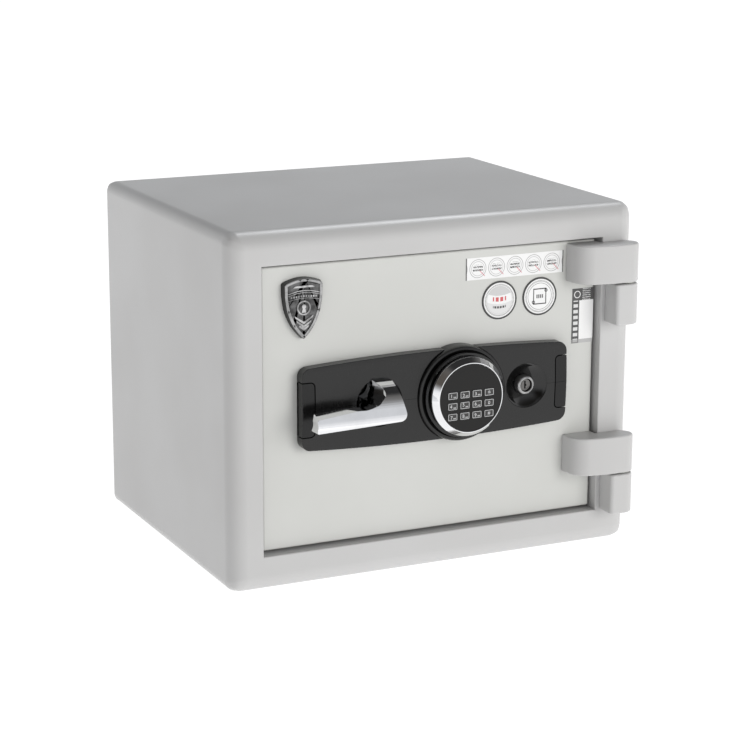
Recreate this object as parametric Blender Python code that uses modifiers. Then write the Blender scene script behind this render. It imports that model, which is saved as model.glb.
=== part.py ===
"""Small fire-resistant document safe with a lever handle, a keypad and a key lock.

The origin is the centre of the underside. +X is to the right, +Y towards the back and +Z up, in metres.
Depths are counted from the cabinet's front plane, positive into the cabinet.
"""

import math
from collections import namedtuple

import bmesh
import bpy
from mathutils import Matrix

# Fits
GAP = 0.0003                # between two pieces that touch
RUNNING_GAP = 0.0005        # between a piece that moves and its guide
FILLING_GAP = 0.0006        # round the filling at the cabinet's rounded corners
COLLAR_GAP = 0.0006         # between the keypad and its collar
PAST = 0.010                # how far a cutter runs past the face that it opens
THROUGH = 0.100             # deeper than the door, for a cut that goes right through

# Cabinet
BODY_WIDTH = 0.450
BODY_DEPTH = 0.350
BODY_HEIGHT = 0.360
SHEET = 0.002               # steel sheet of the cabinet and the door
FRONT_ROUND = 0.018
SIDE_ROUND = 0.012
BACK_ROUND = 0.004
BACK_FLANGE = 0.013         # turned in round the rear panel
RAIL_LEFT = 0.0345
RAIL_RIGHT = 0.039
RAIL_BOTTOM = 0.0365
RAIL_TOP = 0.0335
SHOULDER = 0.006            # the step behind the door's edge, which the seal lies on
SEAL_THICK = 0.0019
SEAL_WIDTH = 0.005

# Inner liner: a tunnel round the door's plug, then the storage space
LINER_WALL = 0.002
TUNNEL_CLEAR = 0.014        # behind the plug
CAVITY_INSET = 0.0195       # from the tunnel's wall to the cavity's wall
REAR_FILLING = 0.058        # from the storage space to the cabinet's back
CAVITY_ROUND = 0.006
SHELF_UP = 0.124            # top of the shelf above the storage space's floor
SHELF_THICK = 0.004
SHELF_SETBACK = 0.012
SHELF_ROUND = 0.001
LEDGE = 0.007               # width and height of the two ledges under the shelf

# Door
DOOR_RECESS = 0.010         # the door's face behind the front plane
DOOR_GAP = 0.0028
DOOR_SLAB = 0.018           # depth of the steel pan
SWING_MARGIN = 0.001        # left over where the door's free edge swings past the frame
PLUG_INSET = 0.006          # above and below the plug
PLUG_INSET_HINGE = 0.012
PLUG_MARGIN = 0.002
PLUG_ROUND = 0.004
PLUG_FILL = 0.0164          # filling between the lock's plate and the plug's back

# Hinges
HINGE_X = 0.0167            # pin axis, in from the cabinet's right side
HINGE_PROUD = 0.012         # pin axis in front of the front plane
KNUCKLE_R = 0.0116
LEAF_LEFT = 0.0335          # the leaf's left end, in from the door's hinge edge
KNUCKLE_SETBACK = 0.005     # the knuckle's left face, out from the opening's edge
KNUCKLE_CORNER = 0.004
PIN_R = 0.004
WASHER_R = 0.008
WASHER_THICK = 0.001
PIN_INTO_LEAF = 0.030
HINGE_ROUND = 0.002
LEAF_HEIGHT = 0.040
KNUCKLE_HEIGHT = 0.0425
UPPER_LEAF_DOWN = 0.0043    # the upper leaf's top under the opening's top
LOWER_LEAF_UP = 0.044       # the lower leaf's underside above the opening's bottom

# Lock line: handle, keypad and key lock stand on it
LOCK_DROP = 0.0005          # under the opening's middle
KEYPAD_SHIFT = 0.02575      # keypad's centre, right of the opening's middle
PANEL_HALF_HEIGHT = 0.046
PANEL_BULGE = 0.005         # how far the top and bottom edges bow out
PANEL_CORNER = 0.008
PANEL_PROUD = 0.004         # the ridge, in front of the front plane
PANEL_FALL = 0.0025         # from the ridge back to the top and bottom edges
PANEL_WALL = 0.0025
PANEL_ROUND = 0.0012
PANEL_PAST_KEY = 0.0235     # from the key's hollow to the panel's right end
CAP_WIDTH = 0.013
CAP_HALF_HEIGHT = 0.027
CAP_ROUND = 0.0008

# Handle
DISH_TO_COLLAR = 0.017
DISH_R = 0.025
DISH_FLOOR = 0.0077         # depth of the floor behind the handle
LEVER_FRONT = 0.036         # the grip's face in front of the front plane
GRIP_THICK = 0.013
GRIP_LENGTH = 0.083         # from the lever's axis to the grip's free end
GRIP_CORNER = 0.009         # round under the neck
GRIP_TOP = 0.0005           # above the lock line
GRIP_WAIST_DOWN = 0.007     # the free end's narrowest place, under the lock line
GRIP_SETBACK = 0.0005       # the neck, in from the grip's faces
GRIP_ROUND = 0.0018
NECK_LEFT = 0.0105          # either side of the lever's axis
NECK_RIGHT = 0.0155
NECK_RIGHT_TOP = 0.0095
NECK_TOP = 0.0205
NECK_LEAN_DEPTH = 0.006     # where the neck's slope ends, in front of the front plane
NECK_ROUND = 0.0015
LEVER_BOTTOM = 0.0165
SPINDLE_R = 0.005
SPINDLE_SOCKET = 0.020
BUSH_R = 0.009
BUSH_FLANGE_R = 0.012
BUSH_FLANGE = 0.0019

# Boltwork
BOLT_BEHIND_COVER = 0.0147  # centre line of the bolts, behind the plug's flange
BOLT_R = 0.008
BOLT_ROUND = 0.001
BOLT_FROM_END = 0.052       # the outer bolts, in from the plug's top and bottom
POCKET_CLEAR = 0.001        # round a thrown bolt
CAM_SWING = math.radians(50)
CAM_ARM = 0.025
CAM_PIN_R = 0.003
CAM_HUB_R = 0.010
CAM_END_R = 0.006
CAM_THICK = 0.004
CAM_GAP = 0.001             # between the cam and the bar, and of the pin past the bar
BAR_THICK = 0.004
BAR_WIDTH = 0.016
BAR_FROM_LEVER = 0.0465
BAR_PAST_BOLT = 0.014
ARM_DROP = 0.0155           # the bar's arm, under and over the cam's pin and past it
ARM_RISE = 0.012
ARM_PAST_PIN = 0.011
BOLT_TIP_INSET = 0.0005     # a drawn bolt's tip, in from the plug's face
PLATE_THICK = 0.002
PLATE_MARGIN = 0.004
PLATE_BEHIND_BOLT = 0.010   # the lock plate's face behind the bolts' centre line
GUIDE_THICK = 0.004
GUIDE_INSET = 0.013         # in from the plug's face
GUIDE_MARGIN = 0.003        # in front of the bolts
STUD_R = 0.005
STUD_REACH = 0.005          # a fixed stud, into the cabinet's side
STUD_POCKET = 0.0015
STUD_BAR_FRONT = 0.008      # the studs' bar, in front of their centre line

# Keypad
COLLAR_WIDTH = 0.007
COLLAR_CREST = 0.007        # in front of the front plane
COLLAR_EDGE = 0.0035
COLLAR_INNER_EDGE = 0.003
HOUSING_STEP = 0.0008       # the housing outside the bezel
FLANGE_STEP = 0.0022        # the thin flange outside the housing
NECK_STEP = 0.0031          # the groove under the bezel, inside the housing
GROOVE = 0.002              # width of that groove
FLANGE_THICK = 0.0024
BEZEL_CHAMFER_WIDTH = 0.0048
BEZEL_CHAMFER_DEPTH = 0.006
BEZEL_DEPTH = 0.0095
BEZEL_LIP = 0.0012
BEZEL_EDGE = 0.0002
BEZEL_BACK_ROUND = 0.0009
FACE_RIM = 0.00084          # left of the face outside the key block's corner
FACE_THICK = 0.0034
FACE_LEDGE = 0.0012
HOUSING_WALL = 0.002
FLANGE_LIP = 0.0006
KEYPAD_PROUD = 0.025        # the bezel's front edge in front of the front plane
BOARD_THICK = 0.0016
BOARD_BEHIND_FACE = 0.0028
CABLE_HOLE_R = 0.008
KEY_COLUMNS = 4
KEY_ROWS = 3
KEY_WIDTH = 0.0104
KEY_HEIGHT = 0.0071
KEY_SPACE_X = 0.0032
KEY_SPACE_Z = 0.0038
KEY_TOP_ROW = 0.004         # above the keypad's centre
KEY_PROUD = 0.0006
KEY_TRAVEL = 0.0008
KEY_STEM_WIDTH = 0.0050
KEY_STEM_HEIGHT = 0.0040
KEY_EDGE = 0.0005

# Key lock
KEY_TO_COLLAR = 0.0025      # between the collar and the key's hollow
KEY_DISH_R = 0.0235
KEY_DISH_DEEP = 0.0105
CYLINDER_R = 0.010
PLUG_R = 0.0065
CYLINDER_FRONT = 0.001
CYLINDER_PAST_COVER = 0.0057
KEYWAY_WIDTH = 0.0016
KEYWAY_HEIGHT = 0.008
KEYWAY_DEEP = 0.006
TAIL_R = 0.003
TONGUE_REACH = 0.018
TONGUE_HUB_R = 0.006
TONGUE_END_R = 0.004
TONGUE_THICK = 0.0025
TAIL_LENGTH = 0.0036
PLUG_SETBACK = 0.0004       # the plug's ends, in from the cylinder's
CYLINDER_ROUND = 0.0012
NUT_ACROSS = 0.028
NUT_THICK = 0.004

# Solenoid and battery case
SOLENOID_FROM_BAR = 0.024
SOLENOID_UNDER_ARM = 0.0108
SOLENOID_WIDTH = 0.024
SOLENOID_HEIGHT = 0.036
SOLENOID_HALF_DEPTH = 0.009
PLUNGER_R = 0.003
PLUNGER_HOLD = 0.020        # length of the plunger inside the solenoid
PLUNGER_TRAVEL = 0.006
BATTERY_FROM_HINGE = 0.056  # in from the plug's hinge side
BATTERY_UP = 0.0155         # above the plug's underside
BATTERY_WIDTH = 0.072
BATTERY_HEIGHT = 0.040
BATTERY_DEEP = 0.032        # from the plug's back
BATTERY_WALL = 0.0015

# Badge
BADGE_WIDTH = 0.0432
BADGE_HEIGHT = 0.060
BADGE_THICK = 0.0018
BADGE_ROUND = 0.0005
BADGE_FROM_LEFT = 0.042     # badge's centre, in from the door's free edge
BADGE_SPARE_ABOVE = 0.34    # share of the spare height between the door's top and the panel
PEAK_HALF_WIDTH = 0.010
PEAK_DROP = 0.0025
SHOULDER_DROP = 0.0065
SIDE_DROP = 0.030           # where the straight sides start to curve to the point
SIDE_CURVE = 0.8

FRONT_Y = -BODY_DEPTH / 2
STEPS = 32                  # sides of a large round
ROUND_STEPS = 36            # sides of the keypad's rounds


def y_at(depth):
    return FRONT_Y + depth


class Rect(namedtuple("Rect", "left right bottom top")):
    """A rectangle seen from the front."""

    def inset(self, left, right=None, bottom=None, top=None):
        right = left if right is None else right
        bottom = left if bottom is None else bottom
        top = bottom if top is None else top
        return Rect(self.left + left, self.right - right, self.bottom + bottom, self.top - top)


HINGE_AXIS_X = BODY_WIDTH / 2 - HINGE_X
HINGE_AXIS_Y = y_at(-HINGE_PROUD)


def swing_room(edge_x, depth):
    """How far a point at this depth moves out to the left as the door swings open."""
    reach = HINGE_AXIS_X - edge_x
    return math.hypot(reach, depth + HINGE_PROUD) - reach


BODY = Rect(-BODY_WIDTH / 2, BODY_WIDTH / 2, 0, BODY_HEIGHT)
OPENING = BODY.inset(RAIL_LEFT, RAIL_RIGHT, RAIL_BOTTOM, RAIL_TOP)
TUNNEL = OPENING.inset(SHOULDER)
CAVITY = TUNNEL.inset(CAVITY_INSET)

# Depths, from the door's face to the back of the storage space
DOOR_FRONT = DOOR_RECESS - GAP      # the back of what lies on the door's face
SLAB_BACK = DOOR_RECESS + DOOR_SLAB
COVER_FRONT = SLAB_BACK + GAP
COVER_BACK = COVER_FRONT + SHEET
REBATE_DEPTH = COVER_BACK + RUNNING_GAP + SEAL_THICK + GAP
CYLINDER_BACK = COVER_BACK + CYLINDER_PAST_COVER
BOLT_DEPTH = COVER_BACK + BOLT_BEHIND_COVER
BAR_FRONT = BOLT_DEPTH - BAR_THICK / 2
PLATE_FRONT = BOLT_DEPTH + PLATE_BEHIND_BOLT
LAYER_BACK = PLATE_FRONT - GAP      # the back of what stands on the lock's plate
PLUG_FILL_FRONT = PLATE_FRONT + PLATE_THICK + GAP
PLUG_FILL_BACK = PLUG_FILL_FRONT + PLUG_FILL
PLUG_BACK = PLUG_FILL_BACK + GAP + SHEET
TUNNEL_BACK = PLUG_BACK + TUNNEL_CLEAR
CAVITY_BACK = BODY_DEPTH - REAR_FILLING
SHELF_HEIGHT = CAVITY.bottom + SHELF_UP

# Door and plug, each clear of the frame on its free side as it swings
FREE_GAP = swing_room(OPENING.left, COVER_BACK) + SWING_MARGIN
DOOR = OPENING.inset(FREE_GAP, DOOR_GAP, DOOR_GAP)
PLUG_FREE_GAP = swing_room(TUNNEL.left, PLUG_BACK) + PLUG_MARGIN
PLUG = TUNNEL.inset(PLUG_FREE_GAP, PLUG_INSET_HINGE, PLUG_INSET)
INSIDE_PLUG = PLUG.inset(SHEET)
UPPER_HINGE_Z = OPENING.top - UPPER_LEAF_DOWN - LEAF_HEIGHT
LOWER_HINGE_Z = OPENING.bottom + LOWER_LEAF_UP

# Keypad: the keys set the face, and each ring follows from the one inside it
KEY_PITCH_X = KEY_WIDTH + KEY_SPACE_X
KEY_PITCH_Z = KEY_HEIGHT + KEY_SPACE_Z
KEYS_HALF_WIDTH = (KEY_COLUMNS - 1) / 2 * KEY_PITCH_X + KEY_WIDTH / 2 + GAP
KEYS_UNDER_CENTRE = (KEY_ROWS - 1) * KEY_PITCH_Z - KEY_TOP_ROW + KEY_HEIGHT / 2 + GAP
FACE_R = math.hypot(KEYS_HALF_WIDTH, KEYS_UNDER_CENTRE) + FACE_RIM
FACE_FRONT = KEYPAD_PROUD - KEY_PROUD
FACE_BACK = FACE_FRONT - FACE_THICK
BEZEL_FRONT_R = FACE_R + BEZEL_LIP
BEZEL_R = BEZEL_FRONT_R + BEZEL_CHAMFER_WIDTH
BEZEL_BACK = KEYPAD_PROUD - BEZEL_DEPTH
HOUSING_R = BEZEL_R + HOUSING_STEP
FLANGE_R = HOUSING_R + FLANGE_STEP
NECK_R = HOUSING_R - NECK_STEP
COLLAR_BORE = HOUSING_R + COLLAR_GAP
COLLAR_R = COLLAR_BORE + COLLAR_WIDTH

# The lock line: lever, keypad and key lock side by side, and the panel round them
LOCK_Z = (OPENING.bottom + OPENING.top) / 2 - LOCK_DROP
KEYPAD_X = (OPENING.left + OPENING.right) / 2 + KEYPAD_SHIFT
LEVER_X = KEYPAD_X - COLLAR_R - DISH_TO_COLLAR - DISH_R
KEY_LOCK_X = KEYPAD_X + COLLAR_R + KEY_TO_COLLAR + KEY_DISH_R
PANEL_LEFT = LEVER_X - GRIP_LENGTH
PANEL_RIGHT = KEY_LOCK_X + KEY_DISH_R + PANEL_PAST_KEY
PANEL_CENTRE_X = (PANEL_LEFT + PANEL_RIGHT) / 2
PANEL_HALF_LENGTH = (PANEL_RIGHT - PANEL_LEFT) / 2
PANEL_TOP = LOCK_Z + PANEL_HALF_HEIGHT
BADGE_TOP = DOOR.top - (DOOR.top - PANEL_TOP - BADGE_HEIGHT) * BADGE_SPARE_ABOVE

# Boltwork: the lever's cam pushes the bar by its arm, and the solenoid blocks the arm
BOLT_SPACING = (PLUG.top - PLUG.bottom) / 2 - BOLT_FROM_END
BOLT_HEIGHTS = [LOCK_Z + step * BOLT_SPACING for step in (-1, 0, 1)]
BOLT_THROW = 2 * CAM_ARM * math.sin(CAM_SWING / 2)
DEEPEST_BOLT = PLUG.left + BOLT_TIP_INSET - BOLT_THROW
BAR_X = LEVER_X - BAR_FROM_LEVER
BAR_HALF_HEIGHT = BOLT_SPACING + BAR_PAST_BOLT
CAM_PIN_X = LEVER_X + CAM_ARM * math.sin(CAM_SWING / 2)
CAM_PIN_Z = LOCK_Z - CAM_ARM * math.cos(CAM_SWING / 2)
ARM_BOTTOM = CAM_PIN_Z - ARM_DROP
SOLENOID_X = BAR_X + SOLENOID_FROM_BAR
SOLENOID_TOP = ARM_BOTTOM - SOLENOID_UNDER_ARM
BATTERY_RIGHT = PLUG.right - BATTERY_FROM_HINGE
BATTERY_BOTTOM = PLUG.bottom + BATTERY_UP
BATTERY = Rect(BATTERY_RIGHT - BATTERY_WIDTH, BATTERY_RIGHT, BATTERY_BOTTOM, BATTERY_BOTTOM + BATTERY_HEIGHT)
BATTERY_FRONT = PLUG_BACK - BATTERY_DEEP


# ---------------------------------------------------------------- scene and materials

def clear_scene():
    for thing in list(bpy.data.objects):
        bpy.data.objects.remove(thing, do_unlink=True)


def new_collection(name):
    group = bpy.data.collections.new(name)
    bpy.context.scene.collection.children.link(group)
    return group


def material(name, colour, roughness, metallic=0.0):
    made = bpy.data.materials.new(name)
    made.use_nodes = True
    shader = made.node_tree.nodes["Principled BSDF"]
    shader.inputs["Base Color"].default_value = (*[channel ** 2.2 for channel in colour], 1)
    shader.inputs["Roughness"].default_value = roughness
    shader.inputs["Metallic"].default_value = metallic
    made.diffuse_color = (*colour, 1)
    return made


clear_scene()
PARTS = new_collection("document_safe")
CUTTERS = new_collection("cutters")

PAINT = ((0.84, 0.84, 0.82), 0.45, 0.0)
CHROME = ((0.85, 0.85, 0.86), 0.08, 1.0)
STEEL = ((0.62, 0.62, 0.63), 0.35, 1.0)
ZINC = ((0.70, 0.70, 0.66), 0.45, 1.0)
BLACK = ((0.10, 0.10, 0.10), 0.35, 0.0)
GLOSS = ((0.04, 0.04, 0.04), 0.12, 0.0)
GREY = ((0.55, 0.56, 0.57), 0.55, 0.0)
FILLING = ((0.75, 0.73, 0.69), 0.90, 0.0)
RUBBER = ((0.06, 0.06, 0.06), 0.80, 0.0)
BOARD = ((0.05, 0.30, 0.15), 0.50, 0.0)


# ---------------------------------------------------------------- ways of making a shape

def add_object(name, mesh, finish=None):
    """A part when it has a finish, and otherwise a cutter."""
    made = bpy.data.objects.new(name, mesh)
    if finish:
        mesh.materials.append(material(name, *finish))
        PARTS.objects.link(made)
    else:
        made.hide_render = True
        made.display_type = "WIRE"
        CUTTERS.objects.link(made)
    return made


def box(name, rect, front, back, finish=None):
    """A block over a rectangle seen from the front, between two depths."""
    shape = bmesh.new()
    bmesh.ops.create_cube(shape, size=1)
    size = (rect.right - rect.left, back - front, rect.top - rect.bottom)
    bmesh.ops.scale(shape, vec=size, verts=shape.verts)
    mesh = bpy.data.meshes.new(name)
    shape.to_mesh(mesh)
    shape.free()
    made = add_object(name, mesh, finish)
    middle = ((rect.left + rect.right) / 2, y_at((front + back) / 2), (rect.bottom + rect.top) / 2)
    made.location = middle
    return made


def around(x, z, half_width, half_height=None):
    half_height = half_width if half_height is None else half_height
    return Rect(x - half_width, x + half_width, z - half_height, z + half_height)


def weld_and_flatten(mesh):
    shape = bmesh.new()
    shape.from_mesh(mesh)
    bmesh.ops.remove_doubles(shape, verts=shape.verts, dist=1e-6)
    bmesh.ops.dissolve_limit(shape, angle_limit=0.002, verts=shape.verts, edges=shape.edges)
    bmesh.ops.recalc_face_normals(shape, faces=shape.faces)
    shape.to_mesh(mesh)
    shape.free()


def flat_outline(name, points, thickness, finish=None):
    """A closed outline in the object's own XY plane, thickened both ways along its Z."""
    curve = bpy.data.curves.new(name, "CURVE")
    curve.dimensions = "2D"
    curve.fill_mode = "BOTH"
    curve.extrude = thickness / 2
    line = curve.splines.new("POLY")
    line.points.add(len(points) - 1)
    for point, (u, v) in zip(line.points, points):
        point.co = (u, v, 0, 1)
    line.use_cyclic_u = True
    drawn = bpy.data.objects.new(name, curve)
    bpy.context.scene.collection.objects.link(drawn)
    graph = bpy.context.evaluated_depsgraph_get()
    mesh = bpy.data.meshes.new_from_object(drawn.evaluated_get(graph))
    bpy.data.objects.remove(drawn)
    weld_and_flatten(mesh)
    return add_object(name, mesh, finish)


def front_outline(name, points, front, back, finish=None):
    """An outline of (x, z) points seen from the front, between two depths."""
    made = flat_outline(name, points, back - front, finish)
    made.rotation_euler.x = math.pi / 2
    made.location.y = y_at((front + back) / 2)
    return made


def plan_outline(name, points, bottom, top, finish=None):
    """An outline of (x, depth) points seen from above, between two heights."""
    made = flat_outline(name, [(x, y_at(depth)) for x, depth in points], top - bottom, finish)
    made.location.z = (bottom + top) / 2
    return made


def turned(name, x, z, profile, finish=None, steps=STEPS, closed=True):
    """A shape turned about an axis along Y, from points of (radius, distance before the front plane)."""
    mesh = bpy.data.meshes.new(name)
    count = len(profile)
    edges = [(i, i + 1) for i in range(count - 1)]
    if closed:
        edges.append((count - 1, 0))
    mesh.from_pydata([(radius, 0, height) for radius, height in profile], edges, [])
    made = add_object(name, mesh, finish)
    spin = made.modifiers.new("turn", "SCREW")
    spin.steps = steps
    spin.render_steps = steps
    spin.use_merge_vertices = True
    spin.merge_threshold = 0.00001
    made.rotation_euler.x = math.pi / 2
    made.location = (x, FRONT_Y, z)
    return made


def rod(name, x, z, radius, front, back, finish=None, steps=24):
    """A plain round bar along Y."""
    profile = [(0, -front), (radius, -front), (radius, -back), (0, -back)]
    return turned(name, x, z, profile, finish, steps, False)


def cross_rod(name, start_x, end_x, depth, z, radius, finish=None, steps=24):
    """A plain round bar along X."""
    half = (end_x - start_x) / 2
    made = turned(name, 0, 0, [(0, half), (radius, half), (radius, -half), (0, -half)], finish, steps, False)
    made.rotation_euler = (0, math.pi / 2, 0)
    made.location = ((start_x + end_x) / 2, y_at(depth), z)
    return made


def upright_rod(name, x, depth, bottom, top, radius, finish=None, steps=24):
    """A plain round bar along Z."""
    length = top - bottom
    made = turned(name, 0, 0, [(0, length), (radius, length), (radius, 0), (0, 0)], finish, steps, False)
    made.rotation_euler = (0, 0, 0)
    made.location = (x, y_at(depth), bottom)
    return made


def bevel(target, width, segments=2, angle=30):
    rounding = target.modifiers.new("bevel", "BEVEL")
    rounding.width = width
    rounding.segments = segments
    rounding.limit_method = "ANGLE"
    rounding.angle_limit = math.radians(angle)
    rounding.use_clamp_overlap = True
    return target


def combine(target, other, operation):
    change = target.modifiers.new(operation.lower(), "BOOLEAN")
    change.operation = operation
    change.object = other
    return target


def cut(target, *cutters):
    for cutter in cutters:
        combine(target, cutter, "DIFFERENCE")
    return target


def join(target, *others):
    for other in others:
        combine(target, other, "UNION")
    return target


def arc(centre_u, centre_v, radius, start, end, count):
    """Points on an arc between two angles in degrees."""
    angles = [math.radians(start + (end - start) * i / count) for i in range(count + 1)]
    return [(centre_u + radius * math.cos(a), centre_v + radius * math.sin(a)) for a in angles]


def axis_empty(name, x, y, z):
    """Marks a joint's axis. The pieces that move on it are its children."""
    made = bpy.data.objects.new(name, None)
    made.location = (x, y, z)
    made.empty_display_size = 0.02
    PARTS.objects.link(made)
    return made


def hang_on(axis, *pieces):
    bpy.context.view_layer.update()
    for piece in pieces:
        piece.parent = axis
        piece.matrix_parent_inverse = Matrix.Translation(-axis.matrix_world.translation)


# ---------------------------------------------------------------- cabinet

def rounded_body(name, inset, finish=None, back_round=BACK_ROUND):
    """The cabinet's outer form, or one drawn in from it by the inset."""
    body = box(name, BODY.inset(inset), inset, BODY_DEPTH - inset, finish)
    weights = body.data.attributes.new("bevel_weight_edge", "FLOAT", "EDGE")
    for edge in body.data.edges:
        ends = [body.data.vertices[i].co for i in edge.vertices]
        if all(end.y < 0 for end in ends):
            radius = FRONT_ROUND
        elif all(end.y > 0 for end in ends):
            radius = back_round
        else:
            radius = SIDE_ROUND
        weights.data[edge.index].value = (radius - inset) / (FRONT_ROUND - inset)
    rounding = body.modifiers.new("bevel", "BEVEL")
    rounding.limit_method = "WEIGHT"
    rounding.width = FRONT_ROUND - inset
    rounding.segments = 4
    return body


def stud_pockets(name, depth_of_cut):
    """Cutters for the pockets that the hinge-side studs swing out of."""
    made = []
    for number, height in enumerate(BOLT_HEIGHTS):
        rect = Rect(TUNNEL.right - SHEET, TUNNEL.right + depth_of_cut,
                    height - STUD_R - STUD_POCKET, height + STUD_R + STUD_POCKET)
        made.append(box(f"{name}_{number}", rect, BOLT_DEPTH - STUD_R - 2 * STUD_POCKET,
                        BOLT_DEPTH + STUD_R + STUD_POCKET))
    return made


def bolt_pockets(name, radius):
    """Cutters for the holes that the thrown bolts reach into."""
    start = DEEPEST_BOLT - PLUG_MARGIN
    return [cross_rod(f"{name}_{number}", start, PLUG.left, BOLT_DEPTH, height, radius)
            for number, height in enumerate(BOLT_HEIGHTS)]


def make_cabinet():
    shell = rounded_body("outer_shell", 0, PAINT)
    hollow = rounded_body("shell_hollow", SHEET)
    sleeve = OPENING.inset(-SHEET)
    cut(hollow, box("sleeve_block", sleeve, -SHEET, REBATE_DEPTH + SHEET))
    cut(shell, hollow)
    cut(shell, box("opening", OPENING, -PAST, REBATE_DEPTH))
    cut(shell, box("tunnel_mouth", TUNNEL, -PAST, REBATE_DEPTH + PAST))
    panel_hole = BODY.inset(BACK_FLANGE)
    cut(shell, box("rear_hole", panel_hole, BODY_DEPTH - PAST, BODY_DEPTH + PAST))

    box("rear_panel", panel_hole.inset(GAP), BODY_DEPTH - SHEET, BODY_DEPTH, PAINT)

    filling = rounded_body("body_insulation", SHEET + FILLING_GAP, FILLING, BACK_ROUND + SHEET)
    tunnel_outside = TUNNEL.inset(-LINER_WALL)
    cavity_outside = CAVITY.inset(-LINER_WALL)
    cut(filling, box("filling_mouth", sleeve.inset(-GAP), -PAST, REBATE_DEPTH + SHEET + GAP))
    cut(filling, box("filling_tunnel", tunnel_outside.inset(-GAP), 0, TUNNEL_BACK + GAP))
    cut(filling, box("filling_cavity", cavity_outside.inset(-GAP), 0, CAVITY_BACK + LINER_WALL + GAP))
    cut(filling, *bolt_pockets("filling_bolt", BOLT_R + POCKET_CLEAR))
    cut(filling, *stud_pockets("filling_stud", STUD_REACH + STUD_POCKET))

    liner = box("inner_liner", tunnel_outside, REBATE_DEPTH + SHEET + GAP, TUNNEL_BACK, GREY)
    join(liner, box("cavity_form", cavity_outside, TUNNEL_BACK - LINER_WALL, CAVITY_BACK + LINER_WALL))
    cut(liner, box("tunnel_space", TUNNEL, 0, TUNNEL_BACK - LINER_WALL))
    cavity_space = box("cavity_space", CAVITY, TUNNEL_BACK - 2 * PAST, CAVITY_BACK)
    cut(liner, bevel(cavity_space, CAVITY_ROUND, 2))
    ledge_top = SHELF_HEIGHT - SHELF_THICK - GAP
    for name, left, right in (("ledge_left", CAVITY.left - GAP, CAVITY.left + LEDGE),
                              ("ledge_right", CAVITY.right - LEDGE, CAVITY.right + GAP)):
        rect = Rect(left, right, ledge_top - LEDGE, ledge_top)
        join(liner, box(name, rect, TUNNEL_BACK + SHELF_SETBACK, CAVITY_BACK - CAVITY_ROUND))
    cut(liner, *bolt_pockets("liner_bolt", BOLT_R + POCKET_CLEAR))
    cut(liner, *stud_pockets("liner_stud", STUD_REACH + STUD_POCKET))

    shelf = Rect(CAVITY.left + GAP, CAVITY.right - GAP, SHELF_HEIGHT - SHELF_THICK, SHELF_HEIGHT)
    shelf_back = CAVITY_BACK - GAP - CAVITY_ROUND
    bevel(box("shelf", shelf, TUNNEL_BACK + SHELF_SETBACK, shelf_back, GREY), SHELF_ROUND, 1)

    seal_edge = OPENING.inset(GAP)
    seal = box("door_seal", seal_edge, REBATE_DEPTH - GAP - SEAL_THICK, REBATE_DEPTH - GAP, RUBBER)
    cut(seal, box("seal_space", seal_edge.inset(SEAL_WIDTH), 0, REBATE_DEPTH))


# ---------------------------------------------------------------- hinges

def leaf_outline():
    """The door's half of a hinge, from above: a ramp up from the door to a soft ridge, then round the pin."""
    foot = DOOR.right - LEAF_LEFT
    crown = -(HINGE_PROUD + KNUCKLE_R)
    ridge = OPENING.right
    rise = DOOR_FRONT - crown
    run = ridge - foot
    ramp = [(foot + run * (1 - math.cos(t)), DOOR_FRONT - rise * math.sin(t))
            for t in [math.pi / 2 * i / 7 for i in range(8)]]
    end = [(x, depth) for x, depth in arc(HINGE_AXIS_X, -HINGE_PROUD, KNUCKLE_R, -90, 90, 10)]
    under = [(DOOR.right, -HINGE_PROUD + KNUCKLE_R), (DOOR.right, DOOR_FRONT)]
    return ramp + end + under


def knuckle_outline():
    """The cabinet's half of a hinge, from above."""
    left = OPENING.right + KNUCKLE_SETBACK
    back = -GAP
    crown = -(HINGE_PROUD + KNUCKLE_R)
    corner = arc(left + KNUCKLE_CORNER, crown + KNUCKLE_CORNER, KNUCKLE_CORNER, 180, 270, 3)
    end = arc(HINGE_AXIS_X, -HINGE_PROUD, KNUCKLE_R, -90, 0, 6)
    return [(left, back)] + corner + end + [(HINGE_AXIS_X + KNUCKLE_R, back)]


def make_hinge(place, leaf_bottom):
    leaf_top = leaf_bottom + LEAF_HEIGHT
    washer_top = leaf_bottom - GAP
    knuckle_top = washer_top - WASHER_THICK - GAP
    knuckle_bottom = knuckle_top - KNUCKLE_HEIGHT
    leaf = plan_outline(f"hinge_leaf_{place}", leaf_outline(), leaf_bottom, leaf_top, PAINT)
    bevel(leaf, HINGE_ROUND, 2, 60)
    knuckle = plan_outline(f"hinge_knuckle_{place}", knuckle_outline(), knuckle_bottom, knuckle_top, PAINT)
    bevel(knuckle, HINGE_ROUND, 2, 60)
    pin_bottom = knuckle_bottom + SHEET
    pin_top = leaf_bottom + PIN_INTO_LEAF
    bore = upright_rod(f"pin_bore_{place}", HINGE_AXIS_X, -HINGE_PROUD,
                       pin_bottom - GAP, pin_top + GAP, PIN_R + GAP)
    cut(leaf, bore)
    cut(knuckle, bore)
    upright_rod(f"hinge_pin_{place}", HINGE_AXIS_X, -HINGE_PROUD, pin_bottom, pin_top, PIN_R, STEEL)
    profile = [(WASHER_R, WASHER_THICK), (WASHER_R, 0), (PIN_R + GAP, 0), (PIN_R + GAP, WASHER_THICK)]
    washer = turned(f"hinge_washer_{place}", 0, 0, profile, ZINC, 24)
    washer.rotation_euler = (0, 0, 0)
    washer.location = (HINGE_AXIS_X, HINGE_AXIS_Y, washer_top - WASHER_THICK)
    return leaf


# ---------------------------------------------------------------- door

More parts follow.
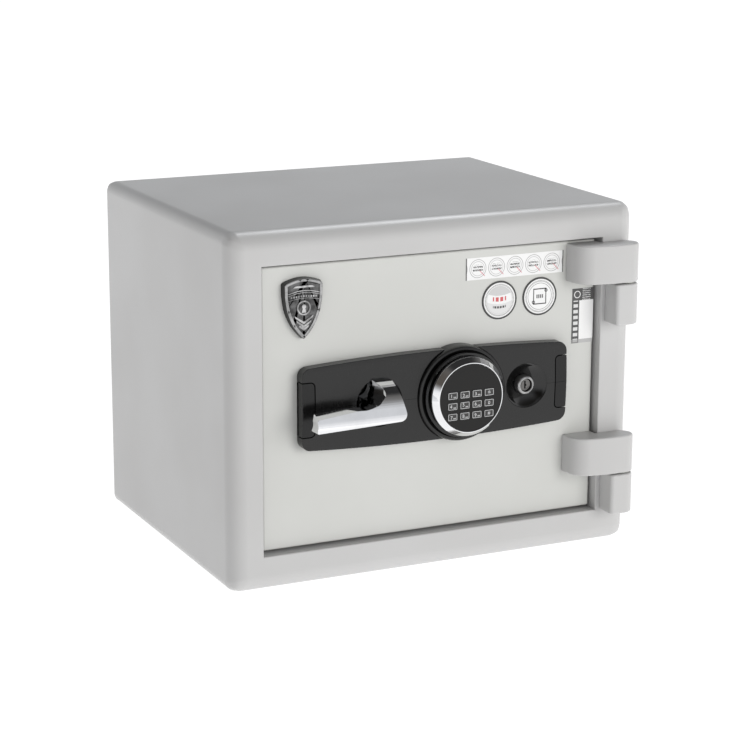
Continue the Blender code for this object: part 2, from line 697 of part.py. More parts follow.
def through_holes(name, front, back):
    """The bores that the handle's bush, the keypad's cable and the key cylinder pass through."""
    return [rod(f"{name}_bush", LEVER_X, LOCK_Z, BUSH_R + GAP, front, back),
            rod(f"{name}_cable", KEYPAD_X, LOCK_Z, CABLE_HOLE_R, front, back),
            rod(f"{name}_cylinder", KEY_LOCK_X, LOCK_Z, CYLINDER_R + GAP, front, back)]


def make_door_case():
    skin = box("door_skin", DOOR, DOOR_RECESS, SLAB_BACK, PAINT)
    bevel(skin, SHEET, 3)
    cut(skin, box("skin_space", DOOR.inset(SHEET), DOOR_RECESS + SHEET, SLAB_BACK + PAST))
    cut(skin, *through_holes("skin", 0, SLAB_BACK))

    inside_skin = DOOR.inset(SHEET + GAP)
    filling = box("door_insulation", inside_skin, DOOR_RECESS + SHEET + GAP, SLAB_BACK, FILLING)
    cut(filling, *through_holes("filling", 0, SLAB_BACK + PAST))

    cover = box("door_inner_cover", DOOR, COVER_FRONT, COVER_BACK, GREY)
    join(cover, bevel(box("plug_form", PLUG, COVER_FRONT + GAP, PLUG_BACK), PLUG_ROUND, 2))
    cut(cover, box("plug_space", INSIDE_PLUG, 0, PLUG_BACK - SHEET))
    for number, height in enumerate(BOLT_HEIGHTS):
        cut(cover, cross_rod(f"cover_bolt_{number}", PLUG.left - PAST, PLUG.left + PAST,
                             BOLT_DEPTH, height, BOLT_R + RUNNING_GAP))
        cut(cover, cross_rod(f"cover_stud_{number}", PLUG.right - PAST, PLUG.right + PAST,
                             BOLT_DEPTH, height, STUD_R + GAP))
    lid = BATTERY.inset(BATTERY_WALL)
    cut(cover, box("battery_hole", lid, PLUG_BACK - PAST, PLUG_BACK + PAST))

    back_filling = box("plug_insulation", INSIDE_PLUG.inset(GAP), PLUG_FILL_FRONT, PLUG_FILL_BACK, FILLING)
    cut(back_filling, box("battery_space", BATTERY.inset(-GAP), 0, THROUGH))

    case = box("battery_case", BATTERY, BATTERY_FRONT, PLUG_FILL_BACK, BLACK)
    cut(case, box("battery_inside", lid, BATTERY_FRONT + BATTERY_WALL, THROUGH))
    cover_plate = box("battery_cover", lid.inset(GAP), PLUG_BACK - SHEET, PLUG_BACK, BLACK)
    return [skin, filling, cover, back_filling, case, cover_plate]


def panel_front(height):
    """How far the lock panel's face stands before the front plane at a height from the lock line."""
    return PANEL_PROUD - PANEL_FALL * min(1, abs(height) / PANEL_HALF_HEIGHT)


def panel_outline():
    """The lock panel from the front: top and bottom edges bow out, and the corners are round."""
    end = PANEL_HALF_HEIGHT - PANEL_BULGE
    top = []
    for i in range(13):
        across = (PANEL_HALF_LENGTH - PANEL_CORNER) * (1 - i / 6)
        share = across / PANEL_HALF_LENGTH
        top.append((across, PANEL_HALF_HEIGHT - PANEL_BULGE * share ** 2))
    corner = arc(PANEL_HALF_LENGTH - PANEL_CORNER, end - PANEL_CORNER, PANEL_CORNER, 0, 60, 3)
    right_top = corner
    left_top = [(-u, v) for u, v in reversed(corner)]
    upper = right_top + top + left_top
    lower = [(u, -v) for u, v in reversed(upper)]
    return [(PANEL_CENTRE_X + u, LOCK_Z + v) for u, v in upper + lower]


def crease(piece):
    """Splits the front face along the lock line and leans its halves back from there."""
    shape = bmesh.new()
    shape.from_mesh(piece.data)
    everything = list(shape.verts) + list(shape.edges) + list(shape.faces)
    bmesh.ops.bisect_plane(shape, geom=everything, plane_co=(0, LOCK_Z, 0), plane_no=(0, 1, 0))
    front = max(vert.co.z for vert in shape.verts)
    for vert in shape.verts:
        if vert.co.z > front - 1e-6:
            vert.co.z -= PANEL_PROUD - panel_front(vert.co.y - LOCK_Z)
    bmesh.ops.recalc_face_normals(shape, faces=shape.faces)
    shape.to_mesh(piece.data)
    shape.free()


PANEL_CUT = (-2 * PAST, 2 * PAST)   # right through the lock panel


def make_panel(name, side):
    """One half of the lock panel, on the left (-1) or right (1) of the keypad."""
    panel = front_outline(name, panel_outline(), -PANEL_PROUD, DOOR_FRONT, BLACK)
    crease(panel)
    bevel(panel, PANEL_ROUND, 2, 50)
    beyond = PANEL_HALF_LENGTH * 2
    other_half = Rect(*sorted((KEYPAD_X, KEYPAD_X - side * beyond)), LOCK_Z - beyond, LOCK_Z + beyond)
    cut(panel, box(f"{name}_other_half", other_half, *PANEL_CUT))
    cut(panel, rod(f"{name}_collar_hole", KEYPAD_X, LOCK_Z, COLLAR_R + GAP, *PANEL_CUT, steps=ROUND_STEPS))

    outer_end = PANEL_CENTRE_X + side * PANEL_HALF_LENGTH
    cap_edge = outer_end - side * CAP_WIDTH
    cap_bottom = LOCK_Z - CAP_HALF_HEIGHT
    cap_top = LOCK_Z + CAP_HALF_HEIGHT
    notch = Rect(*sorted((outer_end + side * PAST, cap_edge - side * GAP)), cap_bottom - GAP, cap_top + GAP)
    cut(panel, box(f"{name}_notch", notch, *PANEL_CUT))
    left, right = sorted((outer_end, cap_edge))
    cap_points = [(left, cap_bottom), (right, cap_bottom), (right, cap_top), (left, cap_top)]
    cap = front_outline(f"{name}_end_cap", cap_points, -PANEL_PROUD, DOOR_FRONT, BLACK)
    crease(cap)
    bevel(cap, CAP_ROUND, 2, 50)

    hollow_half_height = PANEL_HALF_HEIGHT - PANEL_BULGE - 2 * PANEL_WALL
    hollow_rect = Rect(*sorted((cap_edge - side * (GAP + PANEL_WALL), KEYPAD_X)),
                       LOCK_Z - hollow_half_height, LOCK_Z + hollow_half_height)
    hollow = box(f"{name}_hollow", hollow_rect, PANEL_WALL - PANEL_PROUD + PANEL_FALL, 2 * PAST)
    cut(hollow, rod(f"{name}_collar_wall", KEYPAD_X, LOCK_Z, COLLAR_R + PANEL_WALL, -PAST, 3 * PAST,
                    steps=ROUND_STEPS))
    if side < 0:
        cut(hollow, rod("dish_wall", LEVER_X, LOCK_Z, DISH_R + PANEL_WALL, -PAST, 3 * PAST))
        cut(panel, hollow)
        cut(panel, rod("dish", LEVER_X, LOCK_Z, DISH_R, -2 * PAST, DISH_FLOOR, steps=40))
        cut(panel, rod("dish_bore", LEVER_X, LOCK_Z, BUSH_R + GAP, 0, 2 * PAST))
    else:
        cut(hollow, rod("key_dish_wall", KEY_LOCK_X, LOCK_Z, KEY_DISH_R + PANEL_WALL, -PAST, 3 * PAST))
        cut(panel, hollow)
        ball = (KEY_DISH_R ** 2 + KEY_DISH_DEEP ** 2) / (2 * KEY_DISH_DEEP)
        centre = PANEL_PROUD - PANEL_FALL / 3 + ball - KEY_DISH_DEEP
        bowl = [(0, centre)] + arc(0, centre, ball, 0, -90, 15)
        cut(panel, turned("key_dish", KEY_LOCK_X, LOCK_Z, bowl, steps=32, closed=False))
        cut(panel, rod("key_dish_bore", KEY_LOCK_X, LOCK_Z, CYLINDER_R + GAP, *PANEL_CUT))
    return [panel, cap]


def make_badge():
    """A blank shield: a low peak at the top, straight shoulders and sides that curve to a point."""
    half = BADGE_WIDTH / 2
    centre_x = DOOR.left + BADGE_FROM_LEFT
    curve = [math.radians(7.5 * i) for i in range(1, 12)]
    side = [(half * math.cos(t) ** SIDE_CURVE, -SIDE_DROP - (BADGE_HEIGHT - SIDE_DROP) * math.sin(t))
            for t in curve]
    top = [(0, 0), (PEAK_HALF_WIDTH, -PEAK_DROP), (half, -SHOULDER_DROP), (half, -SIDE_DROP)]
    right = top + side + [(0, -BADGE_HEIGHT)]
    left = [(-u, v) for u, v in right[-2:0:-1]]
    points = [(centre_x + u, BADGE_TOP + v) for u, v in right + left]
    badge = front_outline("shield_badge", points, DOOR_FRONT - BADGE_THICK, DOOR_FRONT, STEEL)
    return bevel(badge, BADGE_ROUND, 1, 40)


def make_collar():
    profile = [(COLLAR_BORE + COLLAR_WIDTH / 2, COLLAR_CREST),
               (COLLAR_R - COLLAR_WIDTH / 7, COLLAR_CREST - COLLAR_WIDTH / 7),
               (COLLAR_R, COLLAR_EDGE),
               (COLLAR_R, -DOOR_FRONT),
               (COLLAR_BORE, -DOOR_FRONT),
               (COLLAR_BORE, COLLAR_INNER_EDGE),
               (COLLAR_BORE + COLLAR_WIDTH / 6, COLLAR_CREST - COLLAR_WIDTH / 7)]
    return turned("keypad_collar", KEYPAD_X, LOCK_Z, profile, BLACK, ROUND_STEPS)


def make_housing():
    neck_top = BEZEL_BACK - GAP
    flange_top = neck_top - GROOVE
    flange_bottom = flange_top - FLANGE_THICK
    floor = HOUSING_WALL - DOOR_FRONT
    profile = [(NECK_R, neck_top),
               (NECK_R, flange_top),
               (FLANGE_R - FLANGE_LIP, flange_top - GAP),
               (FLANGE_R, (flange_top + flange_bottom) / 2),
               (FLANGE_R - FLANGE_LIP, flange_bottom),
               (HOUSING_R, flange_bottom - GAP),
               (HOUSING_R, -DOOR_FRONT),
               (CABLE_HOLE_R, -DOOR_FRONT),
               (CABLE_HOLE_R, floor),
               (NECK_R - HOUSING_WALL, floor),
               (NECK_R - HOUSING_WALL, neck_top)]
    return turned("keypad_housing", KEYPAD_X, LOCK_Z, profile, CHROME, STEPS)


def make_bezel():
    bore = FACE_R + GAP
    ledge_front = FACE_BACK - GAP
    profile = [(bore + BEZEL_EDGE, KEYPAD_PROUD),
               (BEZEL_FRONT_R, KEYPAD_PROUD),
               (BEZEL_R, KEYPAD_PROUD - BEZEL_CHAMFER_DEPTH),
               (BEZEL_R, BEZEL_BACK + BEZEL_BACK_ROUND),
               (BEZEL_R - BEZEL_BACK_ROUND, BEZEL_BACK),
               (bore - 2 * FACE_LEDGE, BEZEL_BACK),
               (bore - FACE_LEDGE, ledge_front),
               (bore, ledge_front),
               (bore, KEYPAD_PROUD - BEZEL_EDGE)]
    return turned("keypad_bezel", KEYPAD_X, LOCK_Z, profile, CHROME, ROUND_STEPS)


def make_key(row, column, board_front):
    """One key, with the stem that presses the board, and the hole that it needs in the face."""
    x = KEYPAD_X + KEY_PITCH_X * (column - (KEY_COLUMNS - 1) / 2)
    z = LOCK_Z + KEY_TOP_ROW - KEY_PITCH_Z * row
    place = f"r{row + 1}_c{column + 1}"
    hole = box(f"key_hole_{place}", around(x, z, KEY_WIDTH / 2 + GAP, KEY_HEIGHT / 2 + GAP),
               -KEYPAD_PROUD - PAST, 0)
    cap_back = FACE_BACK + KEY_TRAVEL - KEY_EDGE / 2
    key = box(f"key_{place}", around(x, z, KEY_WIDTH / 2, KEY_HEIGHT / 2), -KEYPAD_PROUD, -cap_back, BLACK)
    bevel(key, KEY_EDGE, 1)
    stem_back = board_front + KEY_TRAVEL + KEY_EDGE
    join(key, box(f"key_stem_{place}", around(x, z, KEY_STEM_WIDTH / 2, KEY_STEM_HEIGHT / 2),
                  -cap_back - KEY_EDGE, -stem_back))
    return key, hole


def make_keypad():
    face = rod("keypad_face", KEYPAD_X, LOCK_Z, FACE_R, -FACE_FRONT, -FACE_BACK, GLOSS, ROUND_STEPS)
    board_front = FACE_BACK - BOARD_BEHIND_FACE
    board = rod("circuit_board", KEYPAD_X, LOCK_Z, FACE_R - 2 * FACE_LEDGE, -board_front,
                BOARD_THICK - board_front, BOARD, 32)
    keys = []
    for row in range(KEY_ROWS):
        for column in range(KEY_COLUMNS):
            key, hole = make_key(row, column, board_front)
            cut(face, hole)
            keys.append(key)
    return [make_collar(), make_housing(), make_bezel(), face, board], keys


def make_key_lock():
    bore = PLUG_R + GAP
    profile = [(CYLINDER_R - CYLINDER_ROUND, CYLINDER_FRONT),
               (CYLINDER_R, CYLINDER_FRONT - CYLINDER_ROUND),
               (CYLINDER_R, -CYLINDER_BACK),
               (bore, -CYLINDER_BACK),
               (bore, CYLINDER_FRONT)]
    cylinder = turned("key_cylinder", KEY_LOCK_X, LOCK_Z, profile, CHROME)
    nut_points = arc(KEY_LOCK_X, LOCK_Z, NUT_ACROSS / math.sqrt(3), 0, 300, 5)
    nut = front_outline("cylinder_nut", nut_points, COVER_FRONT, COVER_FRONT + NUT_THICK, ZINC)
    cut(nut, rod("nut_bore", KEY_LOCK_X, LOCK_Z, CYLINDER_R + GAP, 0, THROUGH))

    plug_front = CYLINDER_FRONT - PLUG_SETBACK
    plug_back = -CYLINDER_BACK - PLUG_SETBACK
    tail_back = plug_back - TAIL_LENGTH
    plug = turned("key_plug", KEY_LOCK_X, LOCK_Z,
                  [(0, plug_front), (PLUG_R - KEY_EDGE, plug_front), (PLUG_R, plug_front - KEY_EDGE),
                   (PLUG_R, plug_back), (TAIL_R, plug_back), (TAIL_R, tail_back), (0, tail_back)],
                  STEEL, 28, False)
    cut(plug, box("keyway", around(KEY_LOCK_X, LOCK_Z, KEYWAY_WIDTH / 2, KEYWAY_HEIGHT / 2),
                  -PAST, KEYWAY_DEEP))
    tongue = arc(KEY_LOCK_X, LOCK_Z, TONGUE_HUB_R, 0, 180, 8)
    tongue += arc(KEY_LOCK_X, LOCK_Z - TONGUE_REACH, TONGUE_END_R, 180, 360, 6)
    cam_front = GAP - plug_back
    cam = front_outline("key_tongue", tongue, cam_front, cam_front + TONGUE_THICK, ZINC)
    cut(cam, rod("tongue_bore", KEY_LOCK_X, LOCK_Z, TAIL_R + GAP, 0, THROUGH))
    return [cylinder, nut], [plug, cam]


# ---------------------------------------------------------------- handle and boltwork

def grip_outline():
    """The grip from the front: a slanted free end on the left and a round corner under the neck."""
    left = LEVER_X - GRIP_LENGTH
    right = LEVER_X + NECK_RIGHT
    bottom = LOCK_Z - LEVER_BOTTOM
    top = LOCK_Z + GRIP_TOP
    corner = arc(right - GRIP_CORNER, bottom + GRIP_CORNER, GRIP_CORNER, -90, 0, 4)
    waist = LOCK_Z - GRIP_WAIST_DOWN
    free_end = [(left + 0.0010, top - 0.0010), (left + 0.0025, waist), (left + 0.0015, bottom + 0.0020),
                (left + 0.0100, bottom + 0.0012)]
    return free_end + corner + [(right, top), (LEVER_X - NECK_LEFT - 0.0040, top - 0.0005)]


def make_neck(back):
    """A wedge from the grip's front up to the dish, narrower on its right at the top."""
    front = GRIP_SETBACK - LEVER_FRONT
    bottom = LOCK_Z - LEVER_BOTTOM + GRIP_SETBACK * 2
    top = LOCK_Z + NECK_TOP
    side_view = [(front, bottom), (front, LOCK_Z - GRIP_SETBACK), (-NECK_LEAN_DEPTH, top), (back, top),
                 (back, bottom)]
    neck = flat_outline("neck", side_view, NECK_LEFT + NECK_RIGHT)
    for vert in neck.data.vertices:
        if vert.co.y > LOCK_Z + NECK_TOP / 2 and vert.co.z > 0:
            vert.co.z -= NECK_RIGHT - NECK_RIGHT_TOP
    # The outline's own X, Y and Z are the depth, the height and the width here.
    middle_x = LEVER_X + (NECK_RIGHT - NECK_LEFT) / 2
    neck.matrix_world = Matrix(((0, 0, 1, middle_x), (1, 0, 0, FRONT_Y), (0, 1, 0, 0), (0, 0, 0, 1)))
    return bevel(neck, NECK_ROUND, 2, 30)


def make_cam():
    """The spindle's cam, with the pin that drives the bolts' bar."""
    cam_back = BAR_FRONT - CAM_GAP
    turn = math.degrees(CAM_SWING / 2)
    outline = arc(LEVER_X, LOCK_Z, CAM_HUB_R, turn, turn + 180, 8)
    outline += arc(CAM_PIN_X, CAM_PIN_Z, CAM_END_R, turn + 180, turn + 360, 6)
    cam = front_outline("spindle_cam", outline, cam_back - CAM_THICK, cam_back, ZINC)
    cut(cam, rod("cam_bore", LEVER_X, LOCK_Z, SPINDLE_R + GAP, 0, THROUGH))
    pin_back = BAR_FRONT + BAR_THICK + CAM_GAP
    pin = rod("cam_pin", CAM_PIN_X, CAM_PIN_Z, CAM_PIN_R, cam_back - CAM_THICK / 2, pin_back, steps=16)
    return join(cam, pin)


def make_lever():
    bush_back = DISH_FLOOR - GAP
    bush_front = bush_back - BUSH_FLANGE
    hub_back = bush_front - GAP
    socket_front = hub_back - SPINDLE_SOCKET
    lever = front_outline("lever_handle", grip_outline(), -LEVER_FRONT, GRIP_THICK - LEVER_FRONT, CHROME)
    bevel(lever, GRIP_ROUND, 2, 35)
    join(lever, make_neck(hub_back))
    cut(lever, rod("spindle_socket", LEVER_X, LOCK_Z, SPINDLE_R + GAP, socket_front, 2 * PAST))

    bore = SPINDLE_R + GAP
    profile = [(BUSH_FLANGE_R, -bush_front), (BUSH_FLANGE_R, -bush_back), (BUSH_R, -bush_back),
               (BUSH_R, -COVER_BACK), (bore, -COVER_BACK), (bore, -bush_front)]
    bush = turned("handle_bush", LEVER_X, LOCK_Z, profile, ZINC, 28)
    spindle = rod("handle_spindle", LEVER_X, LOCK_Z, SPINDLE_R, socket_front + GAP, PLATE_FRONT + PLATE_THICK,
                  STEEL)
    return [lever, spindle, make_cam()], [bush]


def make_carriage():
    """The bar with its arm and the three bolts, which slide as one."""
    bar_back = BAR_FRONT + BAR_THICK
    bar = box("bolt_bar", around(BAR_X, LOCK_Z, BAR_WIDTH / 2, BAR_HALF_HEIGHT), BAR_FRONT, bar_back, ZINC)
    arm = Rect(BAR_X, CAM_PIN_X + ARM_PAST_PIN, ARM_BOTTOM, CAM_PIN_Z + ARM_RISE)
    join(bar, box("bar_arm", arm, BAR_FRONT, bar_back))
    half_slot = CAM_PIN_R + RUNNING_GAP
    drop = CAM_ARM - CAM_ARM * math.cos(CAM_SWING / 2)
    slot = Rect(CAM_PIN_X - half_slot, CAM_PIN_X + half_slot,
                CAM_PIN_Z - drop - half_slot, CAM_PIN_Z + half_slot)
    cut(bar, box("cam_slot", slot, 0, THROUGH))
    for number, notch_x in enumerate((SOLENOID_X, SOLENOID_X + BOLT_THROW)):
        half_notch = PLUNGER_R + POCKET_CLEAR
        notch = Rect(notch_x - half_notch, notch_x + half_notch,
                     ARM_BOTTOM - PAST, ARM_BOTTOM + PLUNGER_TRAVEL + POCKET_CLEAR)
        cut(bar, box(f"plunger_notch_{number}", notch, 0, THROUGH))
    bolts = []
    for name, height in zip(("lower", "middle", "upper"), BOLT_HEIGHTS):
        bolt = cross_rod(f"bolt_{name}", PLUG.left + BOLT_TIP_INSET, BAR_X - BAR_WIDTH / 2 - GAP,
                         BOLT_DEPTH, height, BOLT_R, STEEL)
        bolts.append(bevel(bolt, BOLT_ROUND, 1, 60))
    return [bar, *bolts]


def make_lock_works():
    """What holds the boltwork inside the plug, and the fixed studs on the hinge side."""
    bar_bottom = LOCK_Z - BAR_HALF_HEIGHT
    bar_top = LOCK_Z + BAR_HALF_HEIGHT
    guide_left = PLUG.left + GUIDE_INSET
    guide_rect = Rect(guide_left, guide_left + GUIDE_THICK, bar_bottom, bar_top)
    guide = box("bolt_guide", guide_rect, BOLT_DEPTH - BOLT_R - GUIDE_MARGIN, LAYER_BACK, ZINC)
    for number, height in enumerate(BOLT_HEIGHTS):
        cut(guide, cross_rod(f"guide_hole_{number}", guide_left - PAST, guide_left + 2 * PAST,
                             BOLT_DEPTH, height, BOLT_R + RUNNING_GAP))

    plate_rect = Rect(INSIDE_PLUG.left + PLATE_MARGIN / 2, BATTERY.left - PLATE_MARGIN,
                      INSIDE_PLUG.bottom + PLATE_MARGIN, INSIDE_PLUG.top - PLATE_MARGIN)
    plate = box("lock_plate", plate_rect, PLATE_FRONT, PLATE_FRONT + PLATE_THICK, ZINC)
    cut(plate, rod("plate_bore", LEVER_X, LOCK_Z, SPINDLE_R + GAP, 0, THROUGH))

    stud_left = INSIDE_PLUG.right - GAP - GUIDE_THICK
    stud_rect = Rect(stud_left, stud_left + GUIDE_THICK, bar_bottom, bar_top)
    stud_bar = box("hinge_side_studs", stud_rect, BOLT_DEPTH - STUD_BAR_FRONT, PLUG_FILL_FRONT - GAP, STEEL)
    for number, height in enumerate(BOLT_HEIGHTS):
        join(stud_bar, cross_rod(f"stud_{number}", stud_left + GUIDE_THICK / 2, TUNNEL.right + STUD_REACH,
                                 BOLT_DEPTH, height, STUD_R, steps=20))
    return [guide, plate, stud_bar]


def make_solenoid():
    rect = Rect(SOLENOID_X - SOLENOID_WIDTH / 2, SOLENOID_X + SOLENOID_WIDTH / 2,
                SOLENOID_TOP - SOLENOID_HEIGHT, SOLENOID_TOP)
    solenoid = box("solenoid", rect, BOLT_DEPTH - SOLENOID_HALF_DEPTH, LAYER_BACK, STEEL)
    plunger_bottom = SOLENOID_TOP - PLUNGER_HOLD
    cut(solenoid, upright_rod("plunger_bore", SOLENOID_X, BOLT_DEPTH, plunger_bottom, SOLENOID_TOP + PAST,
                              PLUNGER_R + GAP, steps=16))
    plunger = upright_rod("solenoid_plunger", SOLENOID_X, BOLT_DEPTH, plunger_bottom + GAP,
                          ARM_BOTTOM - 2 * GAP, PLUNGER_R, STEEL, 16)
    return solenoid, plunger


# ---------------------------------------------------------------- assembly

def main():
    make_cabinet()
    leaves = [make_hinge("upper", UPPER_HINGE_Z), make_hinge("lower", LOWER_HINGE_Z)]
    case = make_door_case()
    panels = make_panel("handle_panel", -1) + make_panel("key_panel", 1)
    keypad, keys = make_keypad()
    lock, key_turns = make_key_lock()
    lever, bush = make_lever()
    carriage = make_carriage()
    solenoid, plunger = make_solenoid()

    door_axis = axis_empty("door_axis", HINGE_AXIS_X, HINGE_AXIS_Y, 0)
    lever_axis = axis_empty("lever_axis", LEVER_X, FRONT_Y, LOCK_Z)
    key_axis = axis_empty("key_axis", KEY_LOCK_X, FRONT_Y, LOCK_Z)
    hang_on(door_axis, *leaves, *case, *panels, *keypad, *keys, *lock, *bush, *make_lock_works(), *carriage,
            solenoid, plunger, make_badge(), lever_axis, key_axis)
    hang_on(lever_axis, *lever)
    hang_on(key_axis, *key_turns)

    for part in PARTS.objects:
        if part.type == "MESH":
            part.data.shade_smooth()
            part.data.set_sharp_from_angle(angle=math.radians(35))


main()
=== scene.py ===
import math
import bpy
import bmesh
from mathutils import Matrix, Vector


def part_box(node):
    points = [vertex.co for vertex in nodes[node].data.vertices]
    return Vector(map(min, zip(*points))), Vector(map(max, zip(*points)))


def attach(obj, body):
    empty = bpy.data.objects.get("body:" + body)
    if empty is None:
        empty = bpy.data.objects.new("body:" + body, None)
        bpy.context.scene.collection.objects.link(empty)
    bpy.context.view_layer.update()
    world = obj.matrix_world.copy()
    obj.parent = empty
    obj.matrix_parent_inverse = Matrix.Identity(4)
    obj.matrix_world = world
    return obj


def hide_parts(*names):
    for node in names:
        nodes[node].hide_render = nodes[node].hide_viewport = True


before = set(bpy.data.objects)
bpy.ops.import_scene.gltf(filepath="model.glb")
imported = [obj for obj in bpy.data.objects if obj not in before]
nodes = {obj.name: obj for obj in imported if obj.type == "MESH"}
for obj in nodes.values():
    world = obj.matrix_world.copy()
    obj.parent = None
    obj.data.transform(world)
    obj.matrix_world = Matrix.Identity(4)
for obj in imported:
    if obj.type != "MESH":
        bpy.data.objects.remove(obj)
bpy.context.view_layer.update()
scene = bpy.context.scene
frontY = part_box("outer_shell")[0].y      # plane of the cabinet's face; depths are counted back from it
gap = 0.0003                             # left between two pieces that touch
print("frame loaded:", len(nodes), "nodes")


# ---- numbers and nodes of a material

class Value:
    # a number, colour or vector inside a material; Python's operators add Math nodes
    def __init__(self, finish, socket):
        self.finish = finish
        self.socket = socket

    def math(self, operation, *others):
        return self.finish.node("ShaderNodeMath", {"operation": operation}, [self, *others])

    def __add__(self, other):
        return self.math("ADD", other)

    def __radd__(self, other):
        return self.math("ADD", other)

    def __sub__(self, other):
        return self.math("SUBTRACT", other)

    def __rsub__(self, other):
        return self.finish.node("ShaderNodeMath", {"operation": "SUBTRACT"}, [other, self])

    def __mul__(self, other):
        return self.math("MULTIPLY", other)

    def __rmul__(self, other):
        return self.math("MULTIPLY", other)

    def __truediv__(self, other):
        return self.math("DIVIDE", other)

    def __rtruediv__(self, other):
        return self.finish.node("ShaderNodeMath", {"operation": "DIVIDE"}, [other, self])

    def __pow__(self, other):
        return self.math("POWER", other)

    def __lt__(self, other):
        return self.math("LESS_THAN", other)

    def __gt__(self, other):
        return self.math("GREATER_THAN", other)


class Finish:
    # one Principled material, or the world's background; constants go straight on its sockets
    def __init__(self, name, owner=None, **constants):
        self.material = owner or bpy.data.materials.new(name)
        self.material.use_nodes = True
        self.tree = self.material.node_tree
        self.shader = self.tree.nodes["Background" if owner else "Principled BSDF"]
        for socket, value in constants.items():
            self.shader.inputs[socket.replace("_", " ")].default_value = value

    def node(self, kind, settings, values, output=0):
        made = self.tree.nodes.new(kind)
        for name, value in settings.items():
            if name == "stops":
                while len(made.color_ramp.elements) < len(value):
                    made.color_ramp.elements.new(0.5)
                for element, (position, colour) in zip(made.color_ramp.elements, value):
                    element.position = position
                    element.color = colour
            else:
                setattr(made, name, value)
        for key, value in values.items() if isinstance(values, dict) else enumerate(values):
            if isinstance(value, Value):
                self.tree.links.new(value.socket, made.inputs[key])
            else:
                made.inputs[key].default_value = value
        return Value(self, made.outputs[output])

    def place(self, centre=(0, 0, 0), turn=(0, 0, 0), stretch=(1, 1, 1)):
        # object coordinates, measured from a centre
        own = self.node("ShaderNodeTexCoord", {}, {}, "Object")
        return self.node("ShaderNodeMapping", {"vector_type": "TEXTURE"},
                         {"Vector": own, "Location": centre, "Rotation": turn, "Scale": stretch})

    def axes(self, place):
        made = self.node("ShaderNodeSeparateXYZ", {}, [place])
        outputs = made.socket.node.outputs
        return [Value(self, outputs[i]) for i in range(3)]

    def noise(self, place, scale, detail=2.0, roughness=0.5):
        return self.node("ShaderNodeTexNoise", {}, {"Vector": place, "Scale": scale, "Detail": detail,
                                                    "Roughness": roughness}, "Fac")

    def smooth(self, value, low, high):
        # 0 under low, 1 over high
        return self.node("ShaderNodeMapRange", {"interpolation_type": "SMOOTHSTEP"},
                         {"Value": value, "From Min": low, "From Max": high})

    def mix(self, factor, first, second):
        return self.node("ShaderNodeMix", {"data_type": "RGBA"}, {0: factor, 6: first, 7: second}, 2)

    def bump(self, height, strength, distance):
        return self.node("ShaderNodeBump", {}, {"Height": height, "Strength": strength, "Distance": distance})

    def link(self, **links):
        for socket, value in links.items():
            self.tree.links.new(value.socket, self.shader.inputs[socket.replace("_", " ")])
        return self.material


def grey(level, warmth=0.0):
    return (level * (1 + warmth), level, level * (1 - warmth), 1)


# ---- finishes

# the light and dull tones here are the door's: set above the cabinet's tones below as painted light on the
# door's face
paintLook = {"light": (0.594, 0.598, 0.578, 1), "dull": (0.574, 0.578, 0.556, 1), "roughness": 0.40,
             "peelScale": 620, "grainScale": 2600, "patchScale": 7, "peelDepth": 0.00003}


def powderCoat(name, look):
    # powder paint: faint orange peel, a fine grain and slow changes of tone
    made = Finish(name, Coat_Roughness=0.25)
    here = made.place()
    peel = made.noise(here, look["peelScale"], 2)
    grain = made.noise(here, look["grainScale"], 1)
    patch = made.smooth(made.noise(here, look["patchScale"], 4, 0.55), 0.3, 0.7)
    dust = made.smooth(made.noise(here, 90, 5, 0.7), 0.62, 0.8)
    colour = made.mix(patch, look["light"], look["dull"])
    colour = made.mix(dust * 0.10, colour, grey(0.48, 0.03))
    shine = look["roughness"] + patch * 0.05 + dust * 0.12 + (grain - 0.5) * 0.08
    coat = 0.18 - patch * 0.08
    rough = made.bump(peel + grain * 0.25, 0.5, look["peelDepth"])
    return made.link(Base_Color=colour, Roughness=shine, Coat_Weight=coat, Normal=rough)


# the door's paint is a lighter, slightly warmer copy of the cabinet's paint: painted light on the door's
# face, which carries the same paint as the cabinet
doorPaintWithPaintedLight = powderCoat("doorPaintWithPaintedLight", paintLook)
paint = powderCoat("cabinetPaint", {**paintLook, "light": grey(0.528, 0.002), "dull": grey(0.508, 0.006)})
linerPaint = powderCoat("linerPaint", {**paintLook, "light": grey(0.46, -0.01), "dull": grey(0.43, 0.0),
                                       "roughness": 0.52})


def metal(name, colour, roughness, smear=0.05, depth=0.000003, scale=350, smearScale=22):
    # plated or cut metal: fingermarks, fine tool marks and a trace of unevenness
    made = Finish(name, Metallic=1.0)
    here = made.place()
    lines = made.noise(here, scale, 3, 0.6)
    marks = made.smooth(made.noise(made.place(), smearScale, 5, 0.65), 0.45, 0.75)
    tone = made.mix(marks * 0.5 + (lines - 0.5) * 0.3, colour, tuple(c * 0.86 for c in colour[:3]) + (1,))
    return made.link(Base_Color=tone, Roughness=roughness + marks * smear + (lines - 0.5) * smear,
                     Normal=made.bump(lines, 0.3, depth))


chrome = metal("chromePlate", (0.86, 0.865, 0.88, 1), 0.045, 0.03, scale=120)
steel = metal("turnedSteel", (0.62, 0.62, 0.63, 1), 0.24, 0.10, 0.00001, 900)
darkSteel = metal("darkSteel", (0.16, 0.155, 0.15, 1), 0.16, 0.10, scale=500)
zinc = metal("zincPlate", (0.66, 0.67, 0.62, 1), 0.38, 0.14, scale=260, smearScale=60)


